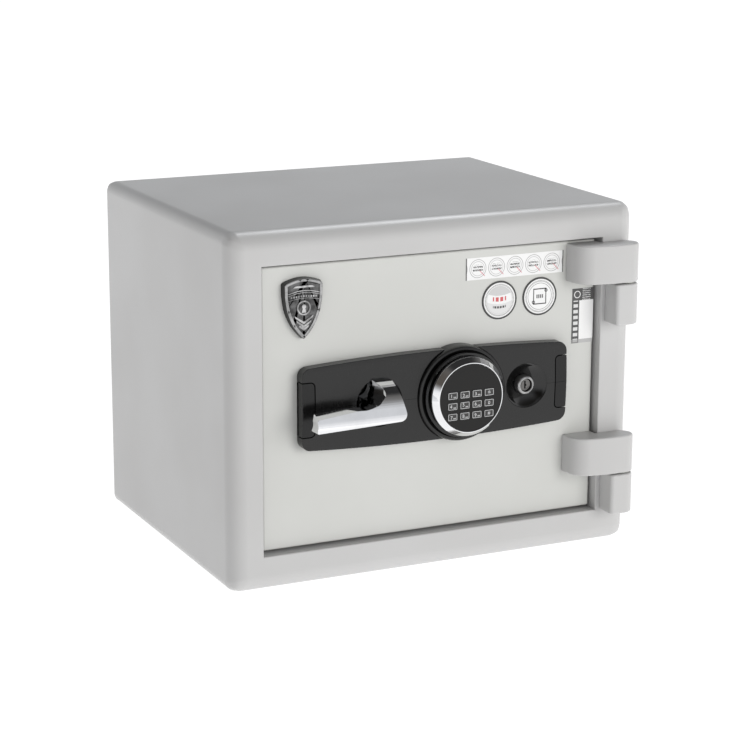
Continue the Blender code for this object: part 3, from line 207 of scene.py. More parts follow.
def mouldedPlastic(name, level, roughness, grainScale, grainDepth, warmth=0.0, scuff=0.12, coat=0.0,
                   shine=0.5):
    # moulded plastic with a fine spark-eroded grain and faint scuffs
    made = Finish(name, Coat_Roughness=0.08, Specular_IOR_Level=shine)
    here = made.place()
    grain = made.noise(here, grainScale, 3, 0.6)
    scuffs = made.smooth(made.noise(made.place(stretch=(0.25, 1, 1)), 160, 5, 0.7), 0.60, 0.82)
    patch = made.noise(here, 18, 3)
    colour = made.mix(patch, grey(level * 0.9, warmth), grey(level * 1.12, warmth))
    colour = made.mix(scuffs * scuff, colour, grey(level * 2.4 + 0.01, warmth))
    return made.link(Base_Color=colour, Roughness=roughness + (patch - 0.5) * 0.10 + scuffs * 0.12,
                     Coat_Weight=coat + patch * 0.04, Normal=made.bump(grain, 0.35, grainDepth))


panelPlastic = mouldedPlastic("panelPlastic", 0.0045, 0.26, 1700, 0.000012, 0.01, 0.04)
capPlastic = mouldedPlastic("capPlastic", 0.0030, 0.24, 1700, 0.000012, 0.01, 0.03, shine=0.4)
darkPlastic = mouldedPlastic("darkPlastic", 0.006, 0.30, 1700, 0.00001)
glossPlastic = mouldedPlastic("glossPlastic", 0.003, 0.07, 700, 0.000003, 0.02, 0.02, 0.1)
facePlastic = mouldedPlastic("facePlastic", 0.008, 0.30, 2200, 0.000006, 0.03, 0.04, shine=0.28)
keyPlastic = mouldedPlastic("keyPlastic", 0.032, 0.42, 2200, 0.000006, 0.02)
sealRubber = mouldedPlastic("sealRubber", 0.012, 0.75, 900, 0.00005)
keyPrint = mouldedPlastic("keyPrint", 0.62, 0.45, 1500, 0.000003, -0.01)


def looseFill(name, light, dark, scale, bubbleDepth):
    # light cast filling with bubbles; the bubbles are sunk by the bump and painted darker, a painted shade in
    # their hollows
    made = Finish(name, Roughness=0.9)
    here = made.place()
    bubbles = made.node("ShaderNodeTexVoronoi", {}, {"Vector": here, "Scale": scale}, "Distance")
    cloud = made.noise(here, 25, 5)
    hole = made.smooth(bubbles, 0.15, 0.35)
    # darker in the bubbles: painted shade in the hollows, with a cloudy tone of its own mixed in
    return made.link(Base_Color=made.mix(hole * 0.7 + cloud * 0.3, dark, light),
                     Normal=made.bump(hole, 0.6, bubbleDepth))


# the darker grey is the filling's cloudy tone and the painted shade in its bubbles
fireFill = looseFill("fireFilling", grey(0.52, 0.04), grey(0.30, 0.05), 260, 0.0006)


def circuitLook(name):
    # green lacquer over copper tracks
    made = Finish(name, Roughness=0.35)
    x, y, z = made.axes(made.place(stretch=(0.004, 0.004, 0.004)))
    track = made.smooth(made.node("ShaderNodeMath", {"operation": "PINGPONG"}, [x + z, 0.5]), 0.36, 0.42)
    return made.link(Base_Color=made.mix(track, (0.01, 0.10, 0.04, 1), (0.05, 0.22, 0.09, 1)),
                     Normal=made.bump(track, 0.4, 0.00004))


circuitBoard = circuitLook("circuitBoard")
print("finishes made")


# ---- ways of making a shape

def block(left, right, front, back, bottom, top):
    shape = bmesh.new()
    bmesh.ops.create_cube(shape, size=1)
    bmesh.ops.scale(shape, vec=(right - left, back - front, top - bottom), verts=shape.verts)
    middle = ((left + right) / 2, frontY + (front + back) / 2, (bottom + top) / 2)
    bmesh.ops.translate(shape, vec=middle, verts=shape.verts)
    return shape


def bevelEdges(shape, edges, width, segments=3):
    if edges:
        bmesh.ops.bevel(shape, geom=edges, offset=width, offset_type="OFFSET", affect="EDGES",
                        segments=segments, profile=0.5, material=-1, clamp_overlap=True)


def soften(shape, width, segments=3, angle=30, where=None):
    # rounds the edges sharper than an angle
    found = [e for e in shape.edges if len(e.link_faces) == 2 and e.calc_face_angle(0) > math.radians(angle)]
    bevelEdges(shape, [e for e in found if where is None or where(e)], width, segments)
    return shape


def runsBack(edge):
    return abs(edge.verts[0].co.y - edge.verts[1].co.y) > 1e-6


def liesLevel(edge):
    return abs(edge.verts[0].co.z - edge.verts[1].co.z) < 1e-6


def prism(corners, start, end, run="back"):
    # a flat outline given thickness; each corner is (u, v, rounding)
    # back: u, v are x, z and it runs in depth; up: x, depth and it runs in height;
    # across: depth, z and it runs in x
    shape = bmesh.new()
    face = shape.faces.new([shape.verts.new((u, v, start)) for u, v, r in corners])
    grown = bmesh.ops.extrude_face_region(shape, geom=[face])["geom"]
    far = [g for g in grown if isinstance(g, bmesh.types.BMVert)]
    bmesh.ops.translate(shape, vec=(0, 0, end - start), verts=far)
    for u, v, r in corners:
        if r > 0:
            edges = [e for e in shape.edges
                     if all(abs(p.co.x - u) < 1e-6 and abs(p.co.y - v) < 1e-6 for p in e.verts)]
            bevelEdges(shape, edges, r, max(3, min(16, int(r / 0.0007))))
    turns = {"back": ((1, 0, 0), (0, 0, 1), (0, 1, 0)), "up": ((1, 0, 0), (0, 1, 0), (0, 0, 1)),
             "across": ((0, 0, 1), (1, 0, 0), (0, 1, 0))}
    bmesh.ops.transform(shape, matrix=Matrix(turns[run]).to_4x4(), verts=shape.verts)
    bmesh.ops.translate(shape, vec=(0, frontY, 0), verts=shape.verts)
    bmesh.ops.recalc_face_normals(shape, faces=shape.faces)
    return shape


def turned(profile, x, z, steps=96, closed=True, rounding=0, along="Y", depth=0.0):
    # a profile of (radius, distance along the axis) spun once round
    shape = bmesh.new()
    points = [shape.verts.new((radius, distance, 0)) for radius, distance in profile]
    pairs = list(zip(points, points[1:] + points[:1]))[:None if closed else -1]
    lines = [shape.edges.new(pair) for pair in pairs]
    bmesh.ops.spin(shape, geom=points + lines, cent=(0, 0, 0), axis=(0, 1, 0), angle=math.tau,
                   steps=steps, use_merge=True)
    bmesh.ops.remove_doubles(shape, verts=shape.verts, dist=1e-6)
    bmesh.ops.recalc_face_normals(shape, faces=shape.faces)
    if rounding:
        soften(shape, rounding, 3, 35)
    if along != "Y":
        turn = Matrix.Rotation(-math.pi / 2, 3, "Z") if along == "X" else Matrix.Rotation(math.pi / 2, 3, "X")
        bmesh.ops.rotate(shape, cent=(0, 0, 0), matrix=turn, verts=shape.verts)
    bmesh.ops.translate(shape, vec=(x, frontY + depth, z), verts=shape.verts)
    return shape


def rod(x, z, radius, front, back, steps=64, rounding=0):
    return turned([(0, front), (radius, front), (radius, back), (0, back)], x, z, steps, False, rounding)


def crossRod(start, end, depth, z, radius, steps=48):
    return turned([(0, start), (radius, start), (radius, end), (0, end)], 0, z, steps, False, 0, "X", depth)


def looseObject(shape):
    mesh = bpy.data.meshes.new("loose")
    shape.to_mesh(mesh)
    made = bpy.data.objects.new("loose", mesh)
    scene.collection.objects.link(made)
    return made


def settled(thing):
    # the mesh that an object's modifiers leave, as a bmesh; the object goes
    graph = bpy.context.evaluated_depsgraph_get()
    mesh = bpy.data.meshes.new_from_object(thing.evaluated_get(graph))
    shape = bmesh.new()
    shape.from_mesh(mesh)
    bpy.data.objects.remove(thing)
    return shape


def carve(shape, *others, how="DIFFERENCE"):
    for other in others:
        target, tool = looseObject(shape), looseObject(other)
        change = target.modifiers.new("carve", "BOOLEAN")
        change.operation = how
        change.object = tool
        shape = settled(target)
        bpy.data.objects.remove(tool)
        bmesh.ops.remove_doubles(shape, verts=shape.verts, dist=2e-6)
    return shape


def together(*shapes):
    # separate bodies in one mesh
    whole = bmesh.new()
    for shape in shapes:
        mesh = bpy.data.meshes.new("part")
        shape.to_mesh(mesh)
        whole.from_mesh(mesh)
        bpy.data.meshes.remove(mesh)
    return whole


def moved(shape, x=0.0, y=0.0, z=0.0):
    copy = shape.copy()
    bmesh.ops.translate(copy, vec=(x, y, z), verts=copy.verts)
    return copy


def addPiece(shape, name, finishes, body, stands=(), smooth=32, bevel=None):
    mesh = bpy.data.meshes.new(name)
    shape.to_mesh(mesh)
    for finish in finishes if isinstance(finishes, (list, tuple)) else [finishes]:
        mesh.materials.append(finish)
    mesh.shade_smooth()
    mesh.set_sharp_from_angle(angle=math.radians(smooth))
    piece = bpy.data.objects.new(name, mesh)
    scene.collection.objects.link(piece)
    if bevel:
        rounding = piece.modifiers.new("edges", "BEVEL")
        rounding.width, rounding.segments = bevel
        rounding.limit_method = "ANGLE"
        rounding.angle_limit = math.radians(28)
        rounding.miter_outer = "MITER_ARC"
    weights = piece.modifiers.new("evenNormals", "WEIGHTED_NORMAL")
    weights.keep_sharp = bevel is None
    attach(piece, body)
    if stands:
        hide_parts(*stands)
    return piece


# ---- cabinet

cabinet = {"sheet": 0.002, "frontRound": 0.018, "sideRound": 0.012, "backRound": 0.004, "roundSteps": 9,
           "mouthRound": 0.0014, "shoulder": 0.006, "rebateDepth": 0.033, "backFlange": 0.013}

shellLow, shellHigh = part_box("outer_shell")
bodyDepth = shellHigh.y - shellLow.y
sealLow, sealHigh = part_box("door_seal")
linerLow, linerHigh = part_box("inner_liner")
openLeft, openRight = sealLow.x - gap, sealHigh.x + gap
openBottom, openTop = sealLow.z - gap, sealHigh.z + gap
step = cabinet["shoulder"]


def roundedBody(inset, segments):
    # the cabinet's form drawn in by an inset, with its own radius on each kind of edge
    shape = block(shellLow.x + inset, shellHigh.x - inset, inset, bodyDepth - inset,
                  shellLow.z + inset, shellHigh.z - inset)
    weights = shape.edges.layers.float.new("bevel_weight_edge")
    widest = cabinet["frontRound"] - inset
    for edge in shape.edges:
        ends = [v.co.y for v in edge.verts]
        kind = "frontRound" if max(ends) < 0 else "backRound" if min(ends) > 0 else "sideRound"
        edge[weights] = max(cabinet[kind] - inset, 0.0005) / widest
    thing = looseObject(shape)
    rounding = thing.modifiers.new("rounds", "BEVEL")
    rounding.limit_method = "WEIGHT"
    rounding.width = widest
    rounding.segments = segments
    return settled(thing)


def makeCabinet():
    sheet, rebate, flange = cabinet["sheet"], cabinet["rebateDepth"], cabinet["backFlange"]
    hollow = roundedBody(sheet, 4)
    hollow = carve(hollow, block(openLeft - sheet, openRight + sheet, -0.01, rebate + sheet,
                                 openBottom - sheet, openTop + sheet))
    shell = carve(roundedBody(0, cabinet["roundSteps"]), hollow)
    shell = carve(shell, block(openLeft, openRight, -0.01, rebate, openBottom, openTop),
                  block(openLeft + step, openRight - step, -0.01, rebate + 0.01,
                        openBottom + step, openTop - step),
                  block(shellLow.x + flange, shellHigh.x - flange, bodyDepth - 0.01, bodyDepth + 0.01,
                        shellLow.z + flange, shellHigh.z - flange))

    def onMouth(edge):
        middle = (edge.verts[0].co + edge.verts[1].co) / 2
        inX = openLeft - 1e-4 < middle.x < openRight + 1e-4
        inZ = openBottom - 1e-4 < middle.z < openTop + 1e-4
        return abs(middle.y - frontY) < 1e-5 and inX and inZ

    soften(shell, cabinet["mouthRound"], 4, 60, onMouth)
    addPiece(shell, "cabinetShell", paint, "root", ["outer_shell"])


rear = {"margin": 0.030, "recess": 0.0009, "recessRound": 0.006, "screwR": 0.0042, "screwIn": 0.011}


def screwHead(radius, thick):
    # a countersunk head seen from behind, with a cross slot
    head = turned([(0, -thick), (radius * 0.6, -thick), (radius, -0.0003), (radius * 0.96, 0), (0, 0)],
                  0, 0, 24, False)
    bar = radius * 0.62
    for wide, high in ((bar, radius * 0.11), (radius * 0.11, bar)):
        head = carve(head, block(-wide, wide, -thick * 0.5, 0.001, -high, high))
    return head


def makeRearPanel():
    low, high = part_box("rear_panel")
    back = high.y - frontY
    panel = block(low.x, high.x, low.y - frontY, back, low.z, high.z)
    m = rear["margin"]
    recess = block(low.x + m, high.x - m, back - rear["recess"], back + 0.001, low.z + m, high.z - m)
    panel = carve(panel, soften(recess, rear["recessRound"], 3, 60, runsBack))
    spots = []
    inset = rear["screwIn"]
    for i in range(4):
        x = low.x + inset + (high.x - low.x - 2 * inset) * i / 3
        spots += [(x, low.z + inset), (x, high.z - inset)]
    for x in (low.x + inset, high.x - inset):
        spots.append((x, (low.z + high.z) / 2))
    sink = together(*[rod(x, z, rear["screwR"] + 0.0002, back - 0.0011, back + 0.001, 24) for x, z in spots])
    panel = carve(panel, sink)
    addPiece(panel, "rearPanel", paint, "root", ["rear_panel"], bevel=(0.0003, 2))
    head = screwHead(rear["screwR"], 0.0009)
    heads = together(*[moved(head, x, back - 0.0001, z) for x, z in spots])
    addPiece(heads, "rearScrews", zinc, "root")


# ---- inner liner and shelf

liner = {"wall": 0.002, "tunnelBack": 0.090, "cavityInset": 0.0195, "cavityRound": 0.006, "roundSteps": 5,
         "ledge": 0.007, "boltPocket": 0.009, "studPocket": 0.0065}


def makeLiner():
    wall, back = liner["wall"], linerHigh.y - frontY
    tunnel = (linerLow.x + wall, linerHigh.x - wall, linerLow.z + wall, linerHigh.z - wall)
    inset = liner["cavityInset"]
    cavity = (tunnel[0] + inset, tunnel[1] - inset, tunnel[2] + inset, tunnel[3] - inset)
    tunnelBack = liner["tunnelBack"]
    form = block(linerLow.x, linerHigh.x, linerLow.y - frontY, tunnelBack, linerLow.z, linerHigh.z)
    form = carve(form, block(cavity[0] - wall, cavity[1] + wall, tunnelBack - wall, back,
                             cavity[2] - wall, cavity[3] + wall), how="UNION")
    form = carve(form, block(tunnel[0], tunnel[1], 0, tunnelBack - wall, tunnel[2], tunnel[3]))
    space = soften(block(cavity[0], cavity[1], tunnelBack - 0.02, back - wall, cavity[2], cavity[3]),
                   liner["cavityRound"], liner["roundSteps"], 60)
    form = carve(form, space)
    shelfLow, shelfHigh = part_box("shelf")
    ledge, ledgeTop = liner["ledge"], shelfLow.z - gap
    for left, right in ((cavity[0] - gap, cavity[0] + ledge), (cavity[1] - ledge, cavity[1] + gap)):
        bar = block(left, right, shelfLow.y - frontY, back - 0.008, ledgeTop - ledge, ledgeTop)
        form = carve(form, bar, how="UNION")
    holes = [crossRod(linerLow.x - 0.01, linerLow.x + 0.01, boltDepth, z, liner["boltPocket"], 40)
             for z in boltHeights]
    stud = liner["studPocket"]
    holes += [block(linerHigh.x - 0.006, linerHigh.x + 0.006, boltDepth - 0.008, boltDepth + stud,
                    z - stud, z + stud) for z in boltHeights]
    form = carve(form, together(*holes))
    addPiece(form, "innerLiner", linerPaint, "root", ["inner_liner"])
    shelf = block(shelfLow.x, shelfHigh.x, shelfLow.y - frontY, shelfHigh.y - frontY,
                  shelfLow.z, shelfHigh.z)
    soften(shelf, 0.0012, 4, 60)
    addPiece(shelf, "shelfBoard", linerPaint, "root", ["shelf"])


# ---- boltwork seen at the door's edge

bolts = {"radius": 0.008, "chamfer": 0.0012, "studRadius": 0.005}
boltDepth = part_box("bolt_middle")[0].y + bolts["radius"] - frontY
boltHeights = [(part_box(n)[0].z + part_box(n)[1].z) / 2 for n in ("bolt_lower", "bolt_middle", "bolt_upper")]


def makeBolts():
    for name in ("lower", "middle", "upper"):
        low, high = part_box("bolt_" + name)
        z = (low.z + high.z) / 2
        r, c = bolts["radius"], bolts["chamfer"]
        profile = [(0, low.x), (r - c, low.x), (r, low.x + c), (r, high.x - c), (r - c, high.x), (0, high.x)]
        bolt = turned(profile, 0, z, 64, False, 0.0003, "X", boltDepth)
        addPiece(bolt, "bolt" + name.capitalize(), steel, "boltwork", ["bolt_" + name])
    low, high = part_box("hinge_side_studs")
    bar = block(low.x, low.x + 0.004, low.y - frontY, high.y - frontY, low.z, high.z)
    for z in boltHeights:
        r = bolts["studRadius"]
        profile = [(0, low.x + 0.002), (r, low.x + 0.002), (r, high.x - 0.001), (r - 0.001, high.x),
                   (0, high.x)]
        bar = carve(bar, turned(profile, 0, z, 48, False, 0, "X", boltDepth), how="UNION")
    addPiece(bar, "hingeSideStuds", steel, "door", ["hinge_side_studs"], bevel=(0.0003, 2))


# ---- hinges

hinge = {"barrelR": 0.0116, "bendR": 0.015, "bendIn": 0.0022, "bendDeep": 0.0062, "ridgeFromPin": 0.0222,
         "boreR": 0.0043, "edge": 0.0018, "corner": 0.004}


def makeHinge(place):
    low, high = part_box("hinge_leaf_" + place)
    foot, crown = low.x - 0.0002, low.y - frontY
    right, back = high.x, high.y - frontY
    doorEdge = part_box("door_skin")[1].x
    underside = crown + 2 * hinge["barrelR"]
    r = hinge["barrelR"] - 0.00005
    ridge = right - hinge["barrelR"] - hinge["ridgeFromPin"]
    corners = [(foot, back, 0), (foot + hinge["bendIn"], crown + hinge["bendDeep"], hinge["bendR"]),
               (ridge, crown, 0), (right, crown, r), (right, underside, r), (doorEdge, underside, 0),
               (doorEdge, back, 0)]
    leaf = prism(corners, low.z, high.z, "up")
    soften(leaf, hinge["edge"], 4, 60, liesLevel)
    pinLow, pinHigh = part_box("hinge_pin_" + place)
    pinX = (pinLow.x + pinHigh.x) / 2
    pinDepth = (pinLow.y + pinHigh.y) / 2 - frontY
    bore = turned([(0, pinLow.z - gap), (hinge["boreR"], pinLow.z - gap),
                   (hinge["boreR"], pinHigh.z + gap), (0, pinHigh.z + gap)],
                  0, 0, 40, False, 0, "Z", 0)
    bmesh.ops.translate(bore, vec=(pinX, pinDepth, 0), verts=bore.verts)
    leaf = carve(leaf, bore)
    addPiece(leaf, "hingeLeaf" + place.capitalize(), paint, "door", ["hinge_leaf_" + place])
    low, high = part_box("hinge_knuckle_" + place)
    corners = [(low.x, high.y - frontY, 0), (low.x, crown, hinge["corner"]), (high.x, crown, r),
               (high.x, high.y - frontY, 0)]
    knuckle = prism(corners, low.z, high.z, "up")
    soften(knuckle, hinge["edge"], 4, 60, liesLevel)
    knuckle = carve(knuckle, bore)
    addPiece(knuckle, "hingeKnuckle" + place.capitalize(), paint, "root", ["hinge_knuckle_" + place])


# ---- door

door = {"sheet": 0.002, "edgeRound": 0.002, "plugRound": 0.004, "plugIn": 0.012, "screwR": 0.0038,
        "screwIn": 0.010, "recess": 0.0008, "recessIn": 0.020, "studBar": 0.004}
lockZ = (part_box("key_plug")[0].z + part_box("key_plug")[1].z) / 2
leverX = (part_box("handle_bush")[0].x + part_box("handle_bush")[1].x) / 2
keypadX = (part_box("keypad_face")[0].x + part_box("keypad_face")[1].x) / 2
keyLockX = (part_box("key_plug")[0].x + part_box("key_plug")[1].x) / 2


def makeDoor():
    low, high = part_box("door_skin")
    front, back = low.y - frontY, high.y - frontY
    skin = block(low.x, high.x, front, back, low.z, high.z)
    soften(skin, door["edgeRound"], 5, 60, lambda e: min(v.co.y for v in e.verts) < low.y + 1e-5)
    s = door["sheet"]
    skin = carve(skin, block(low.x + s, high.x - s, front + s, back + 0.01, low.z + s, high.z - s))
    bores = together(rod(leverX, lockZ, 0.0093, 0, back, 32), rod(keypadX, lockZ, 0.008, 0, back, 32),
                     rod(keyLockX, lockZ, 0.0103, 0, back, 32))
    skin = carve(skin, bores)
    # the skin takes the lighter copy of the cabinet paint, painted light on the door's face
    addPiece(skin, "doorSkin", doorPaintWithPaintedLight, "door", ["door_skin"])

    low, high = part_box("door_inner_cover")
    front, back = low.y - frontY, high.y - frontY
    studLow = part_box("hinge_side_studs")[0]
    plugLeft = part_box("bolt_middle")[0].x - 0.0005
    plugRight = studLow.x + door["studBar"] + gap + s
    plugBottom = openBottom + door["plugIn"]
    plugTop = openTop - door["plugIn"]
    cover = block(low.x, high.x, front, front + s, low.z, high.z)
    plug = block(plugLeft, plugRight, front + gap, back, plugBottom, plugTop)
    soften(plug, door["plugRound"], 5, 60)
    cover = carve(cover, plug, how="UNION")
    cover = carve(cover, block(plugLeft + s, plugRight - s, 0, back - s, plugBottom + s, plugTop - s))
    holes = [crossRod(plugLeft - 0.01, plugLeft + 0.01, boltDepth, z, 0.0085, 40) for z in boltHeights]
    holes += [crossRod(plugRight - 0.01, plugRight + 0.01, boltDepth, z, 0.0053, 32) for z in boltHeights]
    batteryLow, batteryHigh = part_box("battery_cover")
    holes.append(block(batteryLow.x - gap, batteryHigh.x + gap, back - 0.01, back + 0.01,
                       batteryLow.z - gap, batteryHigh.z + gap))
    edge = door["recessIn"]
    pressed = block(plugLeft + edge, plugRight - edge, back - door["recess"], back + 0.001,
                    batteryHigh.z + edge, plugTop - edge)
    soften(pressed, 0.008, 4, 60, runsBack)
    holes.append(pressed)
    inset = door["screwIn"]
    spots = [(plugLeft + inset, z) for z in (plugBottom + inset, lockZ, plugTop - inset)]
    spots += [(plugRight - inset, z) for z in (plugBottom + inset, lockZ, plugTop - inset)]
    holes += [rod(x, z, door["screwR"] + 0.0002, back - 0.0012, back + 0.001, 24) for x, z in spots]
    cover = carve(cover, together(*holes))
    addPiece(cover, "doorInnerCover", linerPaint, "door", ["door_inner_cover"],
             bevel=(0.0004, 2))
    head = screwHead(door["screwR"], 0.0010)
    addPiece(together(*[moved(head, x, back - 0.0001, z) for x, z in spots]), "coverScrews", zinc, "door")

    lid = block(batteryLow.x, batteryHigh.x, batteryLow.y - frontY, back, batteryLow.z, batteryHigh.z)
    middleX = (batteryLow.x + batteryHigh.x) / 2
    grooves = [block(middleX - 0.012, middleX + 0.012, back - 0.0006, back + 0.001,
                     batteryLow.z + 0.006 + 0.003 * i, batteryLow.z + 0.0072 + 0.003 * i) for i in range(5)]
    lid = carve(lid, together(*grooves))
    addPiece(lid, "batteryLid", darkPlastic, "door", ["battery_cover"], bevel=(0.0003, 2))


# ---- lock panel

panel = {"proud": 0.004, "fall": 0.0025, "halfHeight": 0.046, "bulge": 0.005, "corner": 0.009,
         "edge": 0.0042, "edgeFlat": 2.8, "capWidth": 0.013, "capHalf": 0.027, "capCorner": 0.004,
         "groove": 0.0011, "dishR": 0.025, "dishFloor": 0.0077, "keyDishR": 0.0235, "keyDishDeep": 0.0105,
         "ridgeLine": 0.0003}
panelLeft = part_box("handle_panel_end_cap")[0].x
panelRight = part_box("key_panel_end_cap")[1].x
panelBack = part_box("handle_panel")[1].y - frontY
collarLow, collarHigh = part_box("keypad_collar")
collarR = (collarHigh.x - collarLow.x) / 2


def panelForm(left, right, halfAtEnd, bulge, corner, edge):
    # a bowed plate with a ridge along the lock line; both facets lean back from it
    shape = prism([(left, lockZ - halfAtEnd, corner), (right, lockZ - halfAtEnd, corner),
                   (right, lockZ + halfAtEnd, corner), (left, lockZ + halfAtEnd, corner)],
                  -panel["proud"], panelBack)
    cuts = [((0, 0, lockZ + halfAtEnd * i / 8), (0, 0, 1)) for i in range(-7, 8)]
    if bulge:
        span = right - left - 2.2 * corner
        cuts += [((left + 1.1 * corner + span * i / 40, 0, 0), (1, 0, 0)) for i in range(41)]
    for place, facing in cuts:
        everything = list(shape.verts) + list(shape.edges) + list(shape.faces)
        bmesh.ops.bisect_plane(shape, geom=everything, dist=1e-7, plane_co=place, plane_no=facing)
    middle, half = (panelLeft + panelRight) / 2, (panelRight - panelLeft) / 2
    face = min(v.co.y for v in shape.verts)
    for v in shape.verts:
        share = (v.co.x - middle) / half
        v.co.z += bulge * (1 - share * share) * (v.co.z - lockZ) / halfAtEnd
        if v.co.y < face + 1e-6:
            share = min(1, abs(v.co.z - lockZ) / panel["halfHeight"])
            v.co.y += panel["fall"] * share * (0.4 + 0.6 * share)
    # the chamfer is wider than it is deep, so it is cut with the plate drawn out in depth
    flat = panel["edgeFlat"]
    bmesh.ops.scale(shape, vec=(1, flat, 1), verts=shape.verts)
    soften(shape, edge, 1, 50, lambda e: max(v.co.y for v in e.verts) < (face + 0.005) * flat)
    bmesh.ops.scale(shape, vec=(1, 1 / flat, 1), verts=shape.verts)
    return shape


def makePanelHalf(name, side, dish, node):
    half = panel["halfHeight"] - panel["bulge"]
    outer = panelRight if side > 0 else panelLeft

    def whole():
        return panelForm(panelLeft, panelRight, half, panel["bulge"], panel["corner"], panel["edge"])

    def capRoom(grown, back):
        # the end cap's outline, running out past the panel's end
        inner = outer - side * (panel["capWidth"] + grown)
        reach = outer + side * 0.02
        high = panel["capHalf"] + grown
        r = panel["capCorner"] + grown
        return prism([(inner, lockZ - high, r), (reach, lockZ - high, 0), (reach, lockZ + high, 0),
                      (inner, lockZ + high, r)], -0.02, back)

    otherHalf = block(*sorted((keypadX, keypadX - side * 0.4)), -0.02, 0.02, lockZ - 0.2, lockZ + 0.2)
    shape = carve(whole(), otherHalf, rod(keypadX, lockZ, collarR + 0.0004, -0.02, 0.02, 128),
                  capRoom(panel["groove"], 0.0062))
    line = panel["ridgeLine"]
    seam = block(-0.3, 0.3, -0.01, -panel["proud"] + 0.0004, lockZ - line, lockZ + line)
    shape = carve(shape, seam, dish)
    addPiece(shape, name, [panelPlastic], "door", [node], bevel=(0.0004, 3))
    cap = carve(carve(whole(), capRoom(0, 0.02), how="INTERSECT"), seam)
    addPiece(cap, name + "Cap", [capPlastic], "door", [node + "_end_cap"],
             bevel=(0.0005, 3))


def makePanel():
    r, floor = panel["dishR"], panel["dishFloor"]
    dish = turned([(0, -0.02), (r, -0.02), (r, floor - 0.004), (r - 0.001, floor - 0.0015),
                   (r - 0.0035, floor), (0, floor)], leverX, lockZ, 96, False)
    bushBore = rod(leverX, lockZ, 0.0095, 0, 0.02, 48)
    makePanelHalf("handlePanel", -1, carve(dish, bushBore, how="UNION"), "handle_panel")
    r, deep = panel["keyDishR"], panel["keyDishDeep"]
    ball = (r * r + deep * deep) / (2 * deep)
    centre = -panel["proud"] + panel["fall"] / 3 + deep - ball
    bowl = [(ball * math.sin(math.radians(4 * i)), centre + ball * math.cos(math.radians(4 * i)))
            for i in range(23)] + [(0, centre)]
    keyDish = carve(turned(bowl, keyLockX, lockZ, 96, False), rod(keyLockX, lockZ, 0.0104, -0.02, 0.02, 48),
                    how="UNION")
    makePanelHalf("keyPanel", 1, keyDish, "key_panel")
    # glossy linings of the two hollows
    lining = turned([(r - 0.00045, -panel["proud"] + 0.0013), (r - 0.0002, -panel["proud"] + 0.0013)] +
                    [(ball * math.sin(a) - 0.0001, centre + ball * math.cos(a) - 0.0001)
                     for a in [math.radians(2 * i) for i in range(23, 9, -1)]] +
                    [(ball * math.sin(a) - 0.0001, centre + ball * math.cos(a) - 0.0004)
                     for a in [math.radians(2 * i) for i in range(10, 23)]], keyLockX, lockZ, 96)
    addPiece(lining, "keyDishLining", glossPlastic, "door")
    r = panel["dishR"]
    well = turned([(r - 0.0001, -0.0020), (r - 0.0001, floor - 0.004), (r - 0.0011, floor - 0.0016),
                   (r - 0.0036, floor - 0.0001), (0.0125, floor - 0.0001), (0.0125, floor - 0.0004),
                   (r - 0.0037, floor - 0.0004), (r - 0.0013, floor - 0.0018), (r - 0.0004, floor - 0.0042),
                   (r - 0.0004, -0.0020)], leverX, lockZ, 96)
    addPiece(well, "handleDishLining", glossPlastic, "door")


# ---- keypad

keypad = {"bezelR": 0.0406, "frontR": 0.0358, "boreR": 0.0349, "proud": 0.025, "bezelDeep": 0.0095,
          "chamfer": 0.006, "housingR": 0.0414, "housingWall": 0.002, "wireR": 0.008, "flangeR": 0.0436,
          "neckR": 0.0383, "steps": 160,
          "keyRound": 0.0006, "keyRoom": 0.0002, "frameWide": 0.0098, "frameHigh": 0.0066,
          "frameLine": 0.00042, "digitSize": 0.0050, "printThick": 0.00006}
keyLabels = {(1, 1): "1", (1, 2): "2", (1, 3): "3", (1, 4): "*", (2, 1): "4", (2, 2): "5", (2, 3): "6",
             (2, 4): "0", (3, 1): "7", (3, 2): "8", (3, 3): "9", (3, 4): "#"}


